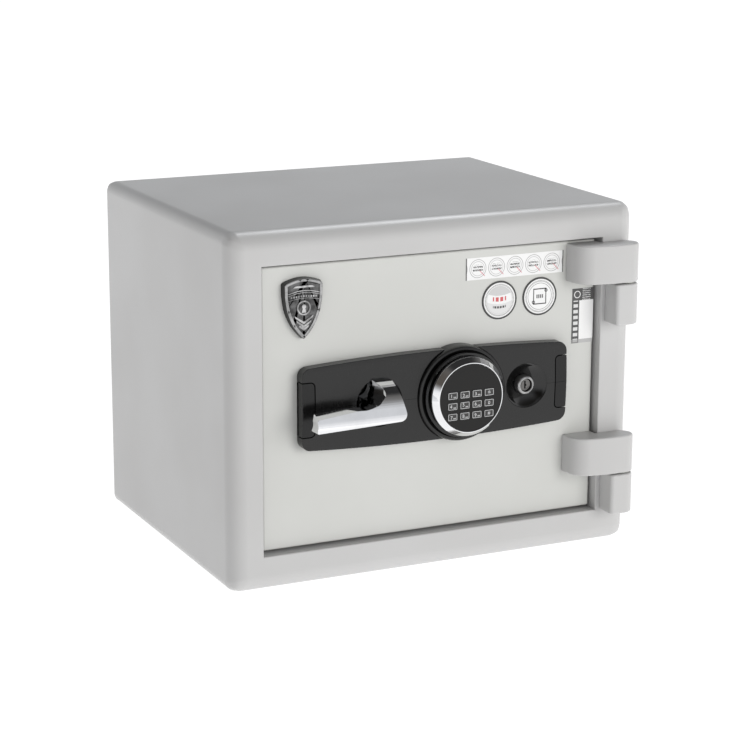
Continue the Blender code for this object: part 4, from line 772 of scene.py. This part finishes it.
def makeRings():
    k = keypad
    back = panelBack
    bore = k["housingR"] + 0.0006
    collar = turned([(bore + 0.0035, -0.0070), (collarR - 0.0012, -0.0062), (collarR, -0.0038),
                     (collarR, back), (bore, back), (bore, -0.0030), (bore + 0.0010, -0.0058)],
                    keypadX, lockZ, k["steps"], True, 0.0005)
    addPiece(collar, "keypadCollar", panelPlastic, "door", ["keypad_collar"])
    neckFront = -k["proud"] + k["bezelDeep"] + 0.0003
    flange = neckFront + 0.0020
    neck, wide, wall = k["neckR"], k["housingR"], k["housingWall"]
    housing = turned([(neck, neckFront), (neck, flange + 0.0006), (wide, flange + 0.0006), (wide, back),
                      (k["wireR"], back), (k["wireR"], back - wall), (neck - wall, back - wall),
                      (neck - wall, neckFront)], keypadX, lockZ, k["steps"])
    addPiece(housing, "keypadHousing", darkPlastic, "door", ["keypad_housing"])
    rim = k["flangeR"]
    plate = turned([(neck + 0.0001, flange - 0.0002), (rim - 0.0003, flange - 0.0002),
                    (rim, flange + 0.0001), (rim, flange + 0.0004), (rim - 0.0005, flange + 0.0004),
                    (rim - 0.0005, flange + 0.0022), (wide + 0.0001, flange + 0.0024),
                    (wide + 0.0001, flange + 0.0005), (neck + 0.0001, flange + 0.0005)],
                   keypadX, lockZ, k["steps"])
    addPiece(plate, "keypadFlange", glossPlastic, "door")
    band = turned([(rim - 0.0005, flange + 0.0004), (rim, flange + 0.0004), (rim, flange + 0.0021),
                   (rim - 0.0005, flange + 0.0021)], keypadX, lockZ, k["steps"])
    addPiece(band, "keypadFlangeBand", chrome, "door")
    bezelBack = -k["proud"] + k["bezelDeep"]
    bezel = turned([(k["boreR"], -k["proud"] + 0.0002), (k["boreR"] + 0.0002, -k["proud"]),
                    (k["frontR"], -k["proud"]), (k["bezelR"], -k["proud"] + k["chamfer"]),
                    (k["bezelR"], bezelBack - 0.001), (k["bezelR"] - 0.0009, bezelBack),
                    (k["boreR"] - 0.0024, bezelBack), (k["boreR"] - 0.0012, -0.0206), (k["boreR"], -0.0206)],
                   keypadX, lockZ, k["steps"], True, 0.0002)
    addPiece(bezel, "keypadBezel", chrome, "door", ["keypad_bezel"])


def textShape(words, size, x, depth, z, thick):
    # a word as a solid, standing up and facing the front, centred on x and z
    curve = bpy.data.curves.new("words", "FONT")
    curve.body = words
    curve.size = size
    curve.align_x = "CENTER"
    curve.align_y = "CENTER"
    curve.extrude = thick / 2
    thing = bpy.data.objects.new("words", curve)
    scene.collection.objects.link(thing)
    shape = settled(thing)
    bmesh.ops.remove_doubles(shape, verts=shape.verts, dist=1e-6)
    bmesh.ops.rotate(shape, cent=(0, 0, 0), matrix=Matrix.Rotation(math.pi / 2, 3, "X"), verts=shape.verts)
    centre = sum((v.co for v in shape.verts), Vector()) / len(shape.verts)
    bmesh.ops.translate(shape, vec=(x - centre.x, frontY + depth, z - centre.z), verts=shape.verts)
    return shape


def makeKeys():
    k = keypad
    low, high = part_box("keypad_face")
    centreZ, radius = (low.z + high.z) / 2, (high.x - low.x) / 2
    face = rod(keypadX, centreZ, radius, low.y - frontY, high.y - frontY, k["steps"])
    holes = []
    for row in (1, 2, 3):
        for column in (1, 2, 3, 4):
            node = f"key_r{row}_c{column}"
            low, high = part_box(node)
            x, z = (low.x + high.x) / 2, (low.z + high.z) / 2
            wide, tall = (high.x - low.x) / 2, (high.z - low.z) / 2
            room = k["keyRoom"]
            hole = block(x - wide - room, x + wide + room, -0.03, -0.01, z - tall - room, z + tall + room)
            holes.append(soften(hole, k["keyRound"], 3, 60, runsBack))
            front = low.y - frontY
            cap = block(x - wide, x + wide, front, front + 0.0036, z - tall, z + tall)
            soften(cap, k["keyRound"], 3, 60, runsBack)
            soften(cap, 0.00025, 2, 60, lambda e: max(v.co.y for v in e.verts) < frontY + front + 1e-5)
            addPiece(cap, "key" + str(row) + str(column), keyPlastic, node, [node])
            fw, fh, line = k["frameWide"] / 2, k["frameHigh"] / 2, k["frameLine"]
            top = front - k["printThick"]
            outline = soften(block(x - fw, x + fw, top, front, z - fh, z + fh), 0.0007, 3, 60, runsBack)
            outline = carve(outline, block(x - fw + line, x + fw - line, top - 0.001, front + 0.001,
                                           z - fh + line, z + fh - line))
            label = keyLabels[(row, column)]
            shift = 0.0 if column == 4 else -0.0016
            size = k["digitSize"] * (1.5 if label == "*" else 1)
            words = textShape(label, size, x + shift, front - k["printThick"] / 2, z, k["printThick"])
            prints = [outline, words]
            if column < 4:
                prints += [block(x + 0.0008 + 0.0010 * i, x + 0.0014 + 0.0010 * i, top, front,
                                 z - 0.0021, z - 0.0009) for i in range(3)]
            addPiece(together(*prints), "keyMark" + str(row) + str(column), keyPrint, node)
    face = carve(face, together(*holes))
    addPiece(face, "keypadFace", facePlastic, "door", ["keypad_face"])


# ---- key lock

keyLock = {"radius": 0.010, "bore": 0.0068, "proud": 0.0022, "dome": 0.0026, "plugR": 0.0065,
           "keywayWide": 0.0016, "keywayHigh": 0.008}


def makeKeyLock():
    low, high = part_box("key_cylinder")
    front, back = low.y - frontY, high.y - frontY
    r, bore = keyLock["radius"], keyLock["bore"]
    proud = keyLock["proud"]
    curve = keyLock["dome"]
    dome = [(r - curve * (1 - math.sin(a)), front - proud + curve * 1.1 * (1 - math.cos(a)))
            for a in [math.radians(10 * i - 10) for i in range(11)]]
    barrel = turned([(bore, back), (bore, front + 0.0012)] + dome + [(r, back)], keyLockX, lockZ, 96)
    addPiece(barrel, "keyBarrel", darkChrome, "door", ["key_cylinder"])
    low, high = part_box("key_plug")
    front, back = low.y - frontY, high.y - frontY
    r = keyLock["plugR"]
    plug = turned([(0, front + 0.0005), (r - 0.0022, front + 0.0004), (r - 0.0015, front),
                   (r - 0.0005, front), (r, front + 0.0005), (r, back - 0.0036), (0.003, back - 0.0036),
                   (0.003, back), (0, back)], keyLockX, lockZ, 72, False, 0.00015)
    w, h = keyLock["keywayWide"] / 2, keyLock["keywayHigh"] / 2
    plug = carve(plug,
                 block(keyLockX - w, keyLockX + w, front - 0.01, front + 0.007, lockZ - h, lockZ + h),
                 block(keyLockX - w, keyLockX + 2.2 * w, front - 0.01, front + 0.007, lockZ - 0.3 * h,
                       lockZ + 0.12 * h))
    addPiece(plug, "keyPlug", darkSteel, "key_plug", ["key_plug"], bevel=(0.00015, 2))


# ---- lever

lever = {"front": 0.036, "gripBack": 0.023, "neckLeft": 0.0190, "slopeFrom": -0.006, "hubBack": 0.0052,
         "spindleR": 0.0053, "spindleDeep": 0.015, "edge": 0.0008, "gripEnd": 0.0820, "waistR": 0.0115,
         "waistIn": 0.0018, "waistDown": 0.0080, "past": 0.0005}
# the same corners behind and in front: (x from the hub, z from the lock line, rounding)
leverRear = [(-0.0824, -0.0154, 0.0010), (0.0165, -0.0122, 0.0085), (0.0130, 0.0090, 0.0080),
             (0.0108, 0.0238, 0.0010), (-0.0092, 0.0256, 0.0006), (-0.0090, 0.0130, 0.0055),
             (-0.0150, 0.0078, 0.0045), (-0.0235, 0.0056, 0.0035), (-0.0785, 0.0078, 0.0008)]
leverFace = [(-0.0813, -0.0154), (0.0165, -0.0122), (0.0130, 0.0090), (0.0120, 0.0250), (0.0090, 0.0262),
             (0.0066, 0.0150), (-0.0115, 0.0040), (-0.0240, 0.0012), (-0.0804, -0.0034)]


def makeLever():
    g = lever
    low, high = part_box("lever_handle")
    frontMost = -g["front"] - g["past"]
    form = bmesh.new()
    corners = [form.verts.new((leverX + x, frontY + g["hubBack"], lockZ + z)) for x, z, r in leverRear]
    face = form.faces.new(corners)
    for depth, outline in ((g["slopeFrom"], leverRear), (frontMost, leverFace)):
        grown = bmesh.ops.extrude_face_region(form, geom=[face])["geom"]
        face = next(p for p in grown if isinstance(p, bmesh.types.BMFace))
        for old, new in zip(leverRear, outline):
            vertex = min(face.verts,
                         key=lambda p: abs(p.co.x - leverX - old[0]) + abs(p.co.z - lockZ - old[1]))
            vertex.co = (leverX + new[0], frontY + depth, lockZ + new[1])
        inside = [f for f in form.faces if all(len(e.link_faces) > 2 for e in f.edges)]
        bmesh.ops.delete(form, geom=inside, context="FACES_ONLY")
    for (x, z, r), front in zip(leverRear, leverFace):
        line = [(x, g["hubBack"], z), (x, g["slopeFrom"], z), (front[0], frontMost, front[1])]
        line = [Vector((leverX + a, frontY + b, lockZ + c)) for a, b, c in line]
        edges = [e for e in form.edges
                 if all(any((v.co - point).length < 1e-6 for point in line) for v in e.verts)]
        bevelEdges(form, edges, r, max(3, int(r / 0.0007)))
    bmesh.ops.recalc_face_normals(form, faces=form.faces)
    # what lies in front of the smooth slope from the grip up to the hub
    away = prism([(-0.06, 0.10, 0), (-g["front"], 0.10, 0), (-g["front"], lockZ + 0.0040, 0.0180),
                  (-0.0130, lockZ + 0.0212, 0.0060), (-0.0030, lockZ + 0.0256, 0), (-0.0030, lockZ + 0.06, 0),
                  (-0.06, lockZ + 0.06, 0)], low.x - 0.03, high.x + 0.03, "across")
    behind = block(low.x - 0.03, leverX - g["neckLeft"], -g["gripBack"], 0.02, low.z - 0.01, high.z + 0.02)
    soften(behind, 0.006, 6, 60, lambda e: abs(e.verts[0].co.x - e.verts[1].co.x) < 1e-6)
    waist = rod(leverX - g["gripEnd"] - g["waistR"] + g["waistIn"], lockZ - g["waistDown"], g["waistR"],
                -0.05, 0.0, 72)
    socket = rod(leverX, lockZ, g["spindleR"], -g["spindleDeep"], 0.02, 32)
    for other in (away, behind, waist, socket):
        bmesh.ops.remove_doubles(form, verts=form.verts, dist=2e-5)
        bmesh.ops.triangulate(form, faces=form.faces)
        form = carve(form, other)
    addPiece(form, "leverHandle", chrome, "lever", ["lever_handle"], bevel=(g["edge"], 3))
    low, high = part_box("handle_bush")
    front, back = low.y - frontY, high.y - frontY
    flangeR = (high.x - low.x) / 2
    bore, body = g["spindleR"], 0.009
    bush = turned([(bore, front), (flangeR - 0.0006, front), (flangeR, front + 0.0006),
                   (flangeR, front + 0.0018), (body, front + 0.0018), (body, back), (bore, back)],
                  leverX, lockZ, 64)
    addPiece(bush, "handleBush", zinc, "door", ["handle_bush"])


# ---- badge

badge = {"proud": 0.0066, "flare": 1.075, "rim": 0.0021, "recess": 0.0010}
# (x from the middle, z from the top, rounding)
shieldSide = [(0.0110, -0.0012, 0.009), (0.0198, -0.0052, 0.0015), (0.0197, -0.0230, 0.010),
              (0.0150, -0.0400, 0.010), (0.0078, -0.0520, 0.006)]


def badgeLook(name, low, high, scale, depth, roughness):
    # cast or plated metal with a stippled ground
    made = Finish(name, Metallic=1.0)
    here = made.place()
    stipple = made.node("ShaderNodeTexVoronoi", {}, {"Vector": here, "Scale": scale}, "Distance")
    tone = made.smooth(made.noise(here, 160, 4), 0.35, 0.65)
    return made.link(Base_Color=made.mix(tone, grey(low), grey(high)), Roughness=roughness + tone * 0.14,
                     Normal=made.bump(stipple, 0.8, depth))


pewter = badgeLook("badgePewter", 0.07, 0.20, 1100.0, 0.00016, 0.38)
darkChrome = badgeLook("darkChrome", 0.30, 0.48, 500.0, 0.00002, 0.26)
castSilver = badgeLook("castSilver", 0.26, 0.66, 700.0, 0.00012, 0.30)


def makeBadge():
    low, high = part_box("shield_badge")
    x, top = (low.x + high.x) / 2 - 0.0004, high.z + 0.0003
    back = high.y - frontY
    face = back - badge["proud"]
    half = shieldSide
    outline = [(x, top, 0.004)] + [(x + u, top + v, r) for u, v, r in half] + [(x, top - 0.0600, 0.001)]
    outline += [(x - u, top + v, r) for u, v, r in reversed(half)]
    shape = prism(outline, face, back)
    rear = [v for v in shape.verts if v.co.y > frontY + back - 1e-6]
    bmesh.ops.scale(shape, vec=(badge["flare"], 1, 1.03), verts=rear,
                    space=Matrix.Translation((-x, 0, -(top - 0.028))))
    field = min(shape.faces, key=lambda f: f.calc_center_median().y)
    for thickness, rise in ((0.0006, 0.0004), (badge["rim"], 0.0), (0.0005, -badge["recess"])):
        bmesh.ops.inset_individual(shape, faces=[field], thickness=thickness, depth=rise)
    field.material_index = 1
    # the side walls take dark plastic: partly the badge's own dark edge, partly painted shade along its sides
    for wall in shape.faces:
        if abs(wall.normal.y) < 0.5 and wall.calc_center_median().y > frontY + face + 0.0012:
            wall.material_index = 2
    floor = field.calc_center_median().y - frontY + 0.0001
    addPiece(shape, "shieldBadge", [darkChrome, pewter, darkPlastic], "door", ["shield_badge"], 25)

    face = floor - 0.0010

    def arch(z, thick, wide, rise):
        return prism([(x - wide, z, 0.0002), (x, z + rise, wide * 0.6), (x + wide, z, 0.0002),
                      (x + wide, z + thick, 0.0002), (x, z + thick + rise, wide * 0.6),
                      (x - wide, z + thick, 0.0002)], face, floor)

    bars = [arch(top - 0.0150, 0.0007, 0.0165, 0.0040), arch(top - 0.0168, 0.0005, 0.0165, 0.0040),
            arch(top - 0.0215, 0.0004, 0.0160, 0.0030)]
    bars.append(prism([(x - 0.0115, top - 0.0090, 0.0008), (x + 0.0115, top - 0.0090, 0.0008),
                       (x + 0.0085, top - 0.0072, 0.0005), (x - 0.0085, top - 0.0072, 0.0005)], face, floor))
    bars += [block(x + 0.0026 * i - 0.0008, x + 0.0026 * i + 0.0008, face + 0.0003, floor,
                   top - 0.0182 - abs(i) * 0.0002, top - 0.0164 - abs(i) * 0.0002) for i in range(-5, 6)]
    ring = turned([(0.0058, face), (0.0072, face - 0.0002), (0.0076, floor), (0.0054, floor)],
                  x, top - 0.0290, 64)
    slot = prism([(x - 0.0010, top - 0.0285, 0), (x + 0.0010, top - 0.0285, 0),
                  (x + 0.0024, top - 0.0338, 0.0004), (x - 0.0024, top - 0.0338, 0.0004)], face, floor)
    keyhole = carve(rod(x, top - 0.0278, 0.0022, face, floor, 32), slot, how="UNION")

    def chevron(wide, z):
        low = z - wide * 0.62
        return prism([(x - wide, z, 0.0003), (x, low, 0.0003), (x + wide, z, 0.0003),
                      (x + wide * 0.9, z - 0.0024, 0.0006), (x, low - 0.0027, 0.0003),
                      (x - wide * 0.9, z - 0.0024, 0.0006)], face, floor)

    chevrons = [chevron(0.0100, top - 0.0365), chevron(0.0080, top - 0.0412), chevron(0.0052, top - 0.0458)]
    addPiece(together(*bars, ring, keyhole, *chevrons), "badgeEmblem", castSilver, "door")


# ---- stickers: blank stand-ins with plain marks

# left, right, bottom and top of the two with straight sides; x and z of the middle of the round ones
sticker = {"thick": 0.00016, "strip": (0.0340, 0.1460, 0.2925, 0.3150),
           "tall": (0.1577, 0.1828, 0.2160, 0.2735), "discR": 0.0198, "discThick": 0.0007,
           "discLeft": (0.0725, 0.2695), "discRight": (0.1190, 0.2695)}


def paperLook(name, draw):
    # matt coated paper; draw gives the share of dark print and its colour
    made = Finish(name, Coat_Roughness=0.2)
    fibre = made.noise(made.place(), 1400, 4, 0.7)
    white = made.mix(fibre, (0.80, 0.80, 0.80, 1), (0.86, 0.86, 0.86, 1))
    colour = draw(made, white)
    return made.link(Base_Color=colour, Roughness=0.42 + (fibre - 0.5) * 0.1, Coat_Weight=0.10 + fibre * 0.05,
                     Normal=made.bump(fibre, 0.2, 0.00001))


def ringMask(made, distance, inner, outer, soft=0.00012):
    pastInner = made.smooth(distance, inner - soft, inner + soft)
    return pastInner * (1 - made.smooth(distance, outer - soft, outer + soft))


def distanceTo(x, z):
    return ((x * x) + (z * z)) ** 0.5


def roundPaper(name, centreX, centreZ, squareIcon):
    def draw(made, white):
        x, y, z = made.axes(made.place((centreX, 0, centreZ)))
        away = distanceTo(x, z)
        angle = made.node("ShaderNodeMath", {"operation": "ARCTAN2"}, [x, z])
        sideX, sideZ = x.math("ABSOLUTE"), z.math("ABSOLUTE")

        def rows(value, pitch, share):
            return made.node("ShaderNodeMath", {"operation": "PINGPONG"}, [value * (2 / pitch), 1.0]) > share

        ticks = rows(angle, 0.085, 0.40) * ringMask(made, away, 0.0150, 0.0168) * 0.62
        rim = made.smooth(away, 0.0178, 0.0181) * 0.97
        if squareIcon:
            circle = ringMask(made, away, 0.0134, 0.0139) * 0.75
            widest = sideX.math("MAXIMUM", sideZ * 0.92)
            icon = ringMask(made, widest, 0.0066, 0.0076)
            bars = rows(x, 0.0021, 0.35) * (sideX < 0.0042) * (sideZ < 0.0019)
            hooks = (ringMask(made, distanceTo(sideX - 0.0072, sideZ - 0.0058), 0.0010, 0.0018)) * (x * z > 0)
            dark = (ticks + circle + icon + bars * 0.9 + hooks + rim).math("MINIMUM", 1.0)
            return made.mix(dark, white, grey(0.015))
        bow = z - x * x * 14
        upper = made.smooth(bow, 0.0044, 0.0048) * (away < 0.0142)
        lower = (1 - made.smooth(bow, -0.0042, -0.0038)) * (away < 0.0142)
        tinted = made.mix(upper * 0.45 + lower * 0.22, white, grey(0.25))
        marks = rows(x, 0.0052, 0.34) * (sideX < 0.0076) * (bow > -0.0014) * (bow < 0.0030)
        tinted = made.mix(marks * 0.9, tinted, (0.56, 0.03, 0.04, 1))
        blobs = rows(x, 0.0031, 0.25) * (sideX < 0.0074) * (bow > -0.0085) * (bow < -0.0062)
        edge = ringMask(made, away, 0.0142, 0.0145) * 0.5
        dark = (ticks + blobs * 0.9 + edge + rim).math("MINIMUM", 1.0)
        return made.mix(dark, tinted, grey(0.015))
    return paperLook(name, draw)


def stripPaper(name, left, right, centreZ):
    def draw(made, white):
        count = 5
        pitch = (right - left - 0.006) / count
        x, y, z = made.axes(made.place(((left + right) / 2, 0, centreZ)))
        shift = 0.5 * pitch if count % 2 else 0
        across = made.node("ShaderNodeMath", {"operation": "WRAP"}, [x + shift, pitch, 0.0])
        away = distanceTo(across - pitch / 2, z)
        rings = ringMask(made, away, 0.0089, 0.0095) * 0.6 + ringMask(made, away, 0.0070, 0.0075) * 0.5
        rows = made.node("ShaderNodeMath", {"operation": "PINGPONG"}, [z * 640, 1.0]) > 0.4
        letters = made.noise(made.place(), 1500, 1) > 0.46
        words = rows * letters * (away < 0.0058) * (z < 0.0040) * (z > -0.0034)
        # both ends of the strip are painted dark: painted shade at its ends
        ends = (x.math("ABSOLUTE") > (right - left) / 2 - 0.0012) * 0.9
        paper = made.mix(0.04, white, grey(0.5))
        slash = (((across - pitch / 2) + z * 1.0).math("ABSOLUTE") < 0.0006) * (z < -0.0015) * (away < 0.0112)
        paper = made.mix(slash * 0.7, paper, (0.65, 0.10, 0.14, 1))
        return made.mix((rings + words + ends).math("MINIMUM", 1.0), paper, grey(0.05))
    return paperLook(name, draw)


def tallPaper(name, left, right, bottom, top):
    def draw(made, white):
        x, y, z = made.axes(made.place((left, 0, bottom)))
        high, wide = top - bottom, right - left
        header = z > high * 0.78
        column = (x < wide * 0.34) * (1 - header)
        boxes = (made.node("ShaderNodeMath", {"operation": "PINGPONG"}, [z * 330, 1.0]) > 0.42)
        inset = (x > wide * 0.07) * (x < wide * 0.28) * boxes
        footer = z < high * 0.07
        badgeRing = ringMask(made, distanceTo(x - wide * 0.24, z - high * 0.89), 0.0030, 0.0038)
        lines = made.node("ShaderNodeMath", {"operation": "PINGPONG"}, [z * 900, 1.0]) > 0.5
        lines = lines * header * (x > wide * 0.48)
        letters = (made.noise(made.place(), 1700, 1) > 0.47) * lines
        dark = (header + column * (1 - inset * 0.8)).math("MINIMUM", 1.0)
        black = header * (x > wide * 0.86)
        dark = dark * (1 - badgeRing) * (1 - letters * 0.8 * (1 - black))
        colour = made.mix(dark * 0.97, white, grey(0.055))
        return made.mix(footer * 0.7, colour, grey(0.30))
    return paperLook(name, draw)


def makeStickers():
    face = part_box("door_skin")[0].y - frontY
    t = sticker["thick"]
    left, right, bottom, top = sticker["strip"]
    strip = block(left, right, face - t, face, bottom, top)
    paper = stripPaper("stripPaper", left, right, (bottom + top) / 2)
    addPiece(strip, "stickerStrip", paper, "door")
    for side, square in (("Left", False), ("Right", True)):
        x, z = sticker["disc" + side]
        name = "stickerRound" + side
        disc = rod(x, z, sticker["discR"], face - sticker["discThick"], face, 96, 0.0002)
        addPiece(disc, name, roundPaper(name + "Paper", x, z, square), "door")
    left, right, bottom, top = sticker["tall"]
    tall = block(left, right, face - t, face, bottom, top)
    addPiece(tall, "stickerTall", tallPaper("tallPaper", left, right, bottom, top), "door")


# ---- finishes of the nodes that stay

keptFinish = {"body_insulation": fireFill, "door_insulation": fireFill, "plug_insulation": fireFill,
              "door_seal": sealRubber, "circuit_board": circuitBoard, "cylinder_nut": zinc,
              "battery_case": darkPlastic, "solenoid": steel, "solenoid_plunger": steel, "lock_plate": zinc,
              "bolt_guide": zinc, "bolt_bar": zinc, "handle_spindle": steel, "spindle_cam": zinc,
              "key_tongue": zinc, "hinge_pin_upper": steel, "hinge_pin_lower": steel,
              "hinge_washer_upper": zinc, "hinge_washer_lower": zinc}


def finishKeptNodes():
    for name, finish in keptFinish.items():
        mesh = nodes[name].data
        mesh.materials.clear()
        mesh.materials.append(finish)


# ---- floor, light and camera

studio = {"horizon": (1.02, 1.02, 1.03, 1), "low": (0.70, 0.71, 0.73, 1), "high": (0.16, 0.155, 0.15, 1),
          "zenith": (0.03, 0.03, 0.03, 1), "darkSide": (0.10, 0.09, 0.08, 1),
          "brightSide": (0.95, 0.95, 0.96, 1), "floorGlow": 0.99, "floorTone": 0.12,
          "keyPower": 30, "keySize": (1.4, 1.4), "keyPlace": (1.15, -2.6, 0.75),
          "keyColour": (1.0, 0.99, 0.965), "sidePower": 4.5, "sideSize": (0.9, 0.7),
          "sidePlace": (-1.15, 1.0, 1.2), "sideColour": (0.96, 0.98, 1.0), "topPower": 46,
          "topSize": (1.1, 1.1), "topPlace": (1.42, 1.25, 3.2), "topColour": (0.94, 0.97, 1.0),
          "lightAim": (0, 0, 0.18)}
view = {"azimuth": -25.588, "elevation": 13.975, "distance": 2.4496, "roll": 0.2324, "lens": 109.62528,
        "aim": (0.0130, 0.0, 0.1604)}


def makeStudio():
    shape = bmesh.new()
    bmesh.ops.create_grid(shape, x_segments=1, y_segments=1, size=12)
    bmesh.ops.translate(shape, vec=(0, 0, -0.0005), verts=shape.verts)
    mesh = bpy.data.meshes.new("floor")
    shape.to_mesh(mesh)
    floorLook = Finish("palePaper", Base_Color=grey(studio["floorTone"]), Roughness=0.9,
                       Emission_Color=(1, 1, 1, 1), Emission_Strength=studio["floorGlow"])
    mesh.materials.append(floorLook.material)
    floor = bpy.data.objects.new("floor", mesh)
    scene.collection.objects.link(floor)

    # white to the eye; for lighting, bright at the horizon and on the right, dark overhead and on the left
    world = bpy.data.worlds.new("studio")
    scene.world = world
    sky = Finish("studio", world)
    x, y, z = sky.axes(sky.node("ShaderNodeTexCoord", {}, {}, "Generated"))
    colour = sky.mix(sky.smooth(z, 0.02, 0.30), studio["horizon"], studio["low"])
    colour = sky.mix(sky.smooth(z + y * 0.25, 0.28, 0.72), colour, studio["high"])
    colour = sky.mix(sky.smooth(z + y * 0.35, 0.66, 0.88), colour, studio["zenith"])
    left = sky.smooth(x * -0.93 - y * 0.36, 0.35, 0.75)
    colour = sky.mix(left * sky.smooth(z, 0.10, 0.42), colour, studio["darkSide"])
    right = sky.smooth(x * 0.97 - y * 0.1, 0.62, 0.86)
    colour = sky.mix(right * sky.smooth(z, 0.62, 0.50), colour, studio["brightSide"])
    seen = sky.node("ShaderNodeLightPath", {}, {}, "Is Camera Ray")
    sky.link(Color=sky.mix(seen, colour, (1, 1, 1, 1)))

    for name in ("key", "side", "top"):
        data = bpy.data.lights.new(name + "Light", "AREA")
        data.shape = "RECTANGLE"
        data.size, data.size_y = studio[name + "Size"]
        data.energy = studio[name + "Power"]
        data.color = studio[name + "Colour"]
        lamp = bpy.data.objects.new(name + "Light", data)
        place = Vector(studio[name + "Place"])
        lamp.location = place
        lamp.rotation_euler = (Vector(studio["lightAim"]) - place).to_track_quat("-Z", "Y").to_euler()
        lamp.visible_camera = False
        lamp.visible_glossy = name != "key"           # its hard edge would show in the chrome
        scene.collection.objects.link(lamp)

    camera = bpy.data.objects.new("camera", bpy.data.cameras.new("camera"))
    scene.collection.objects.link(camera)
    a, e = math.radians(view["azimuth"]), math.radians(view["elevation"])
    away = Vector((math.sin(a) * math.cos(e), -math.cos(a) * math.cos(e), math.sin(e)))
    camera.location = Vector(view["aim"]) + away * view["distance"]
    turn = (-away).to_track_quat("-Z", "Y").to_matrix() @ Matrix.Rotation(math.radians(view["roll"]), 3, "Z")
    camera.rotation_euler = turn.to_euler()
    camera.data.sensor_width = 36
    camera.data.lens = view["lens"]
    scene.camera = camera
    scene.view_settings.view_transform = "Standard"


makeStudio()
makeCabinet()
makeRearPanel()
makeLiner()
print("cabinet made")
makeBolts()
makeHinge("upper")
makeHinge("lower")
makeDoor()
print("door made")
makePanel()
makeRings()
makeKeys()
makeKeyLock()
makeLever()
print("lock made")
makeBadge()
makeStickers()
finishKeptNodes()
print("badge, stickers and kept nodes finished")

bpy.context.view_layer.update()
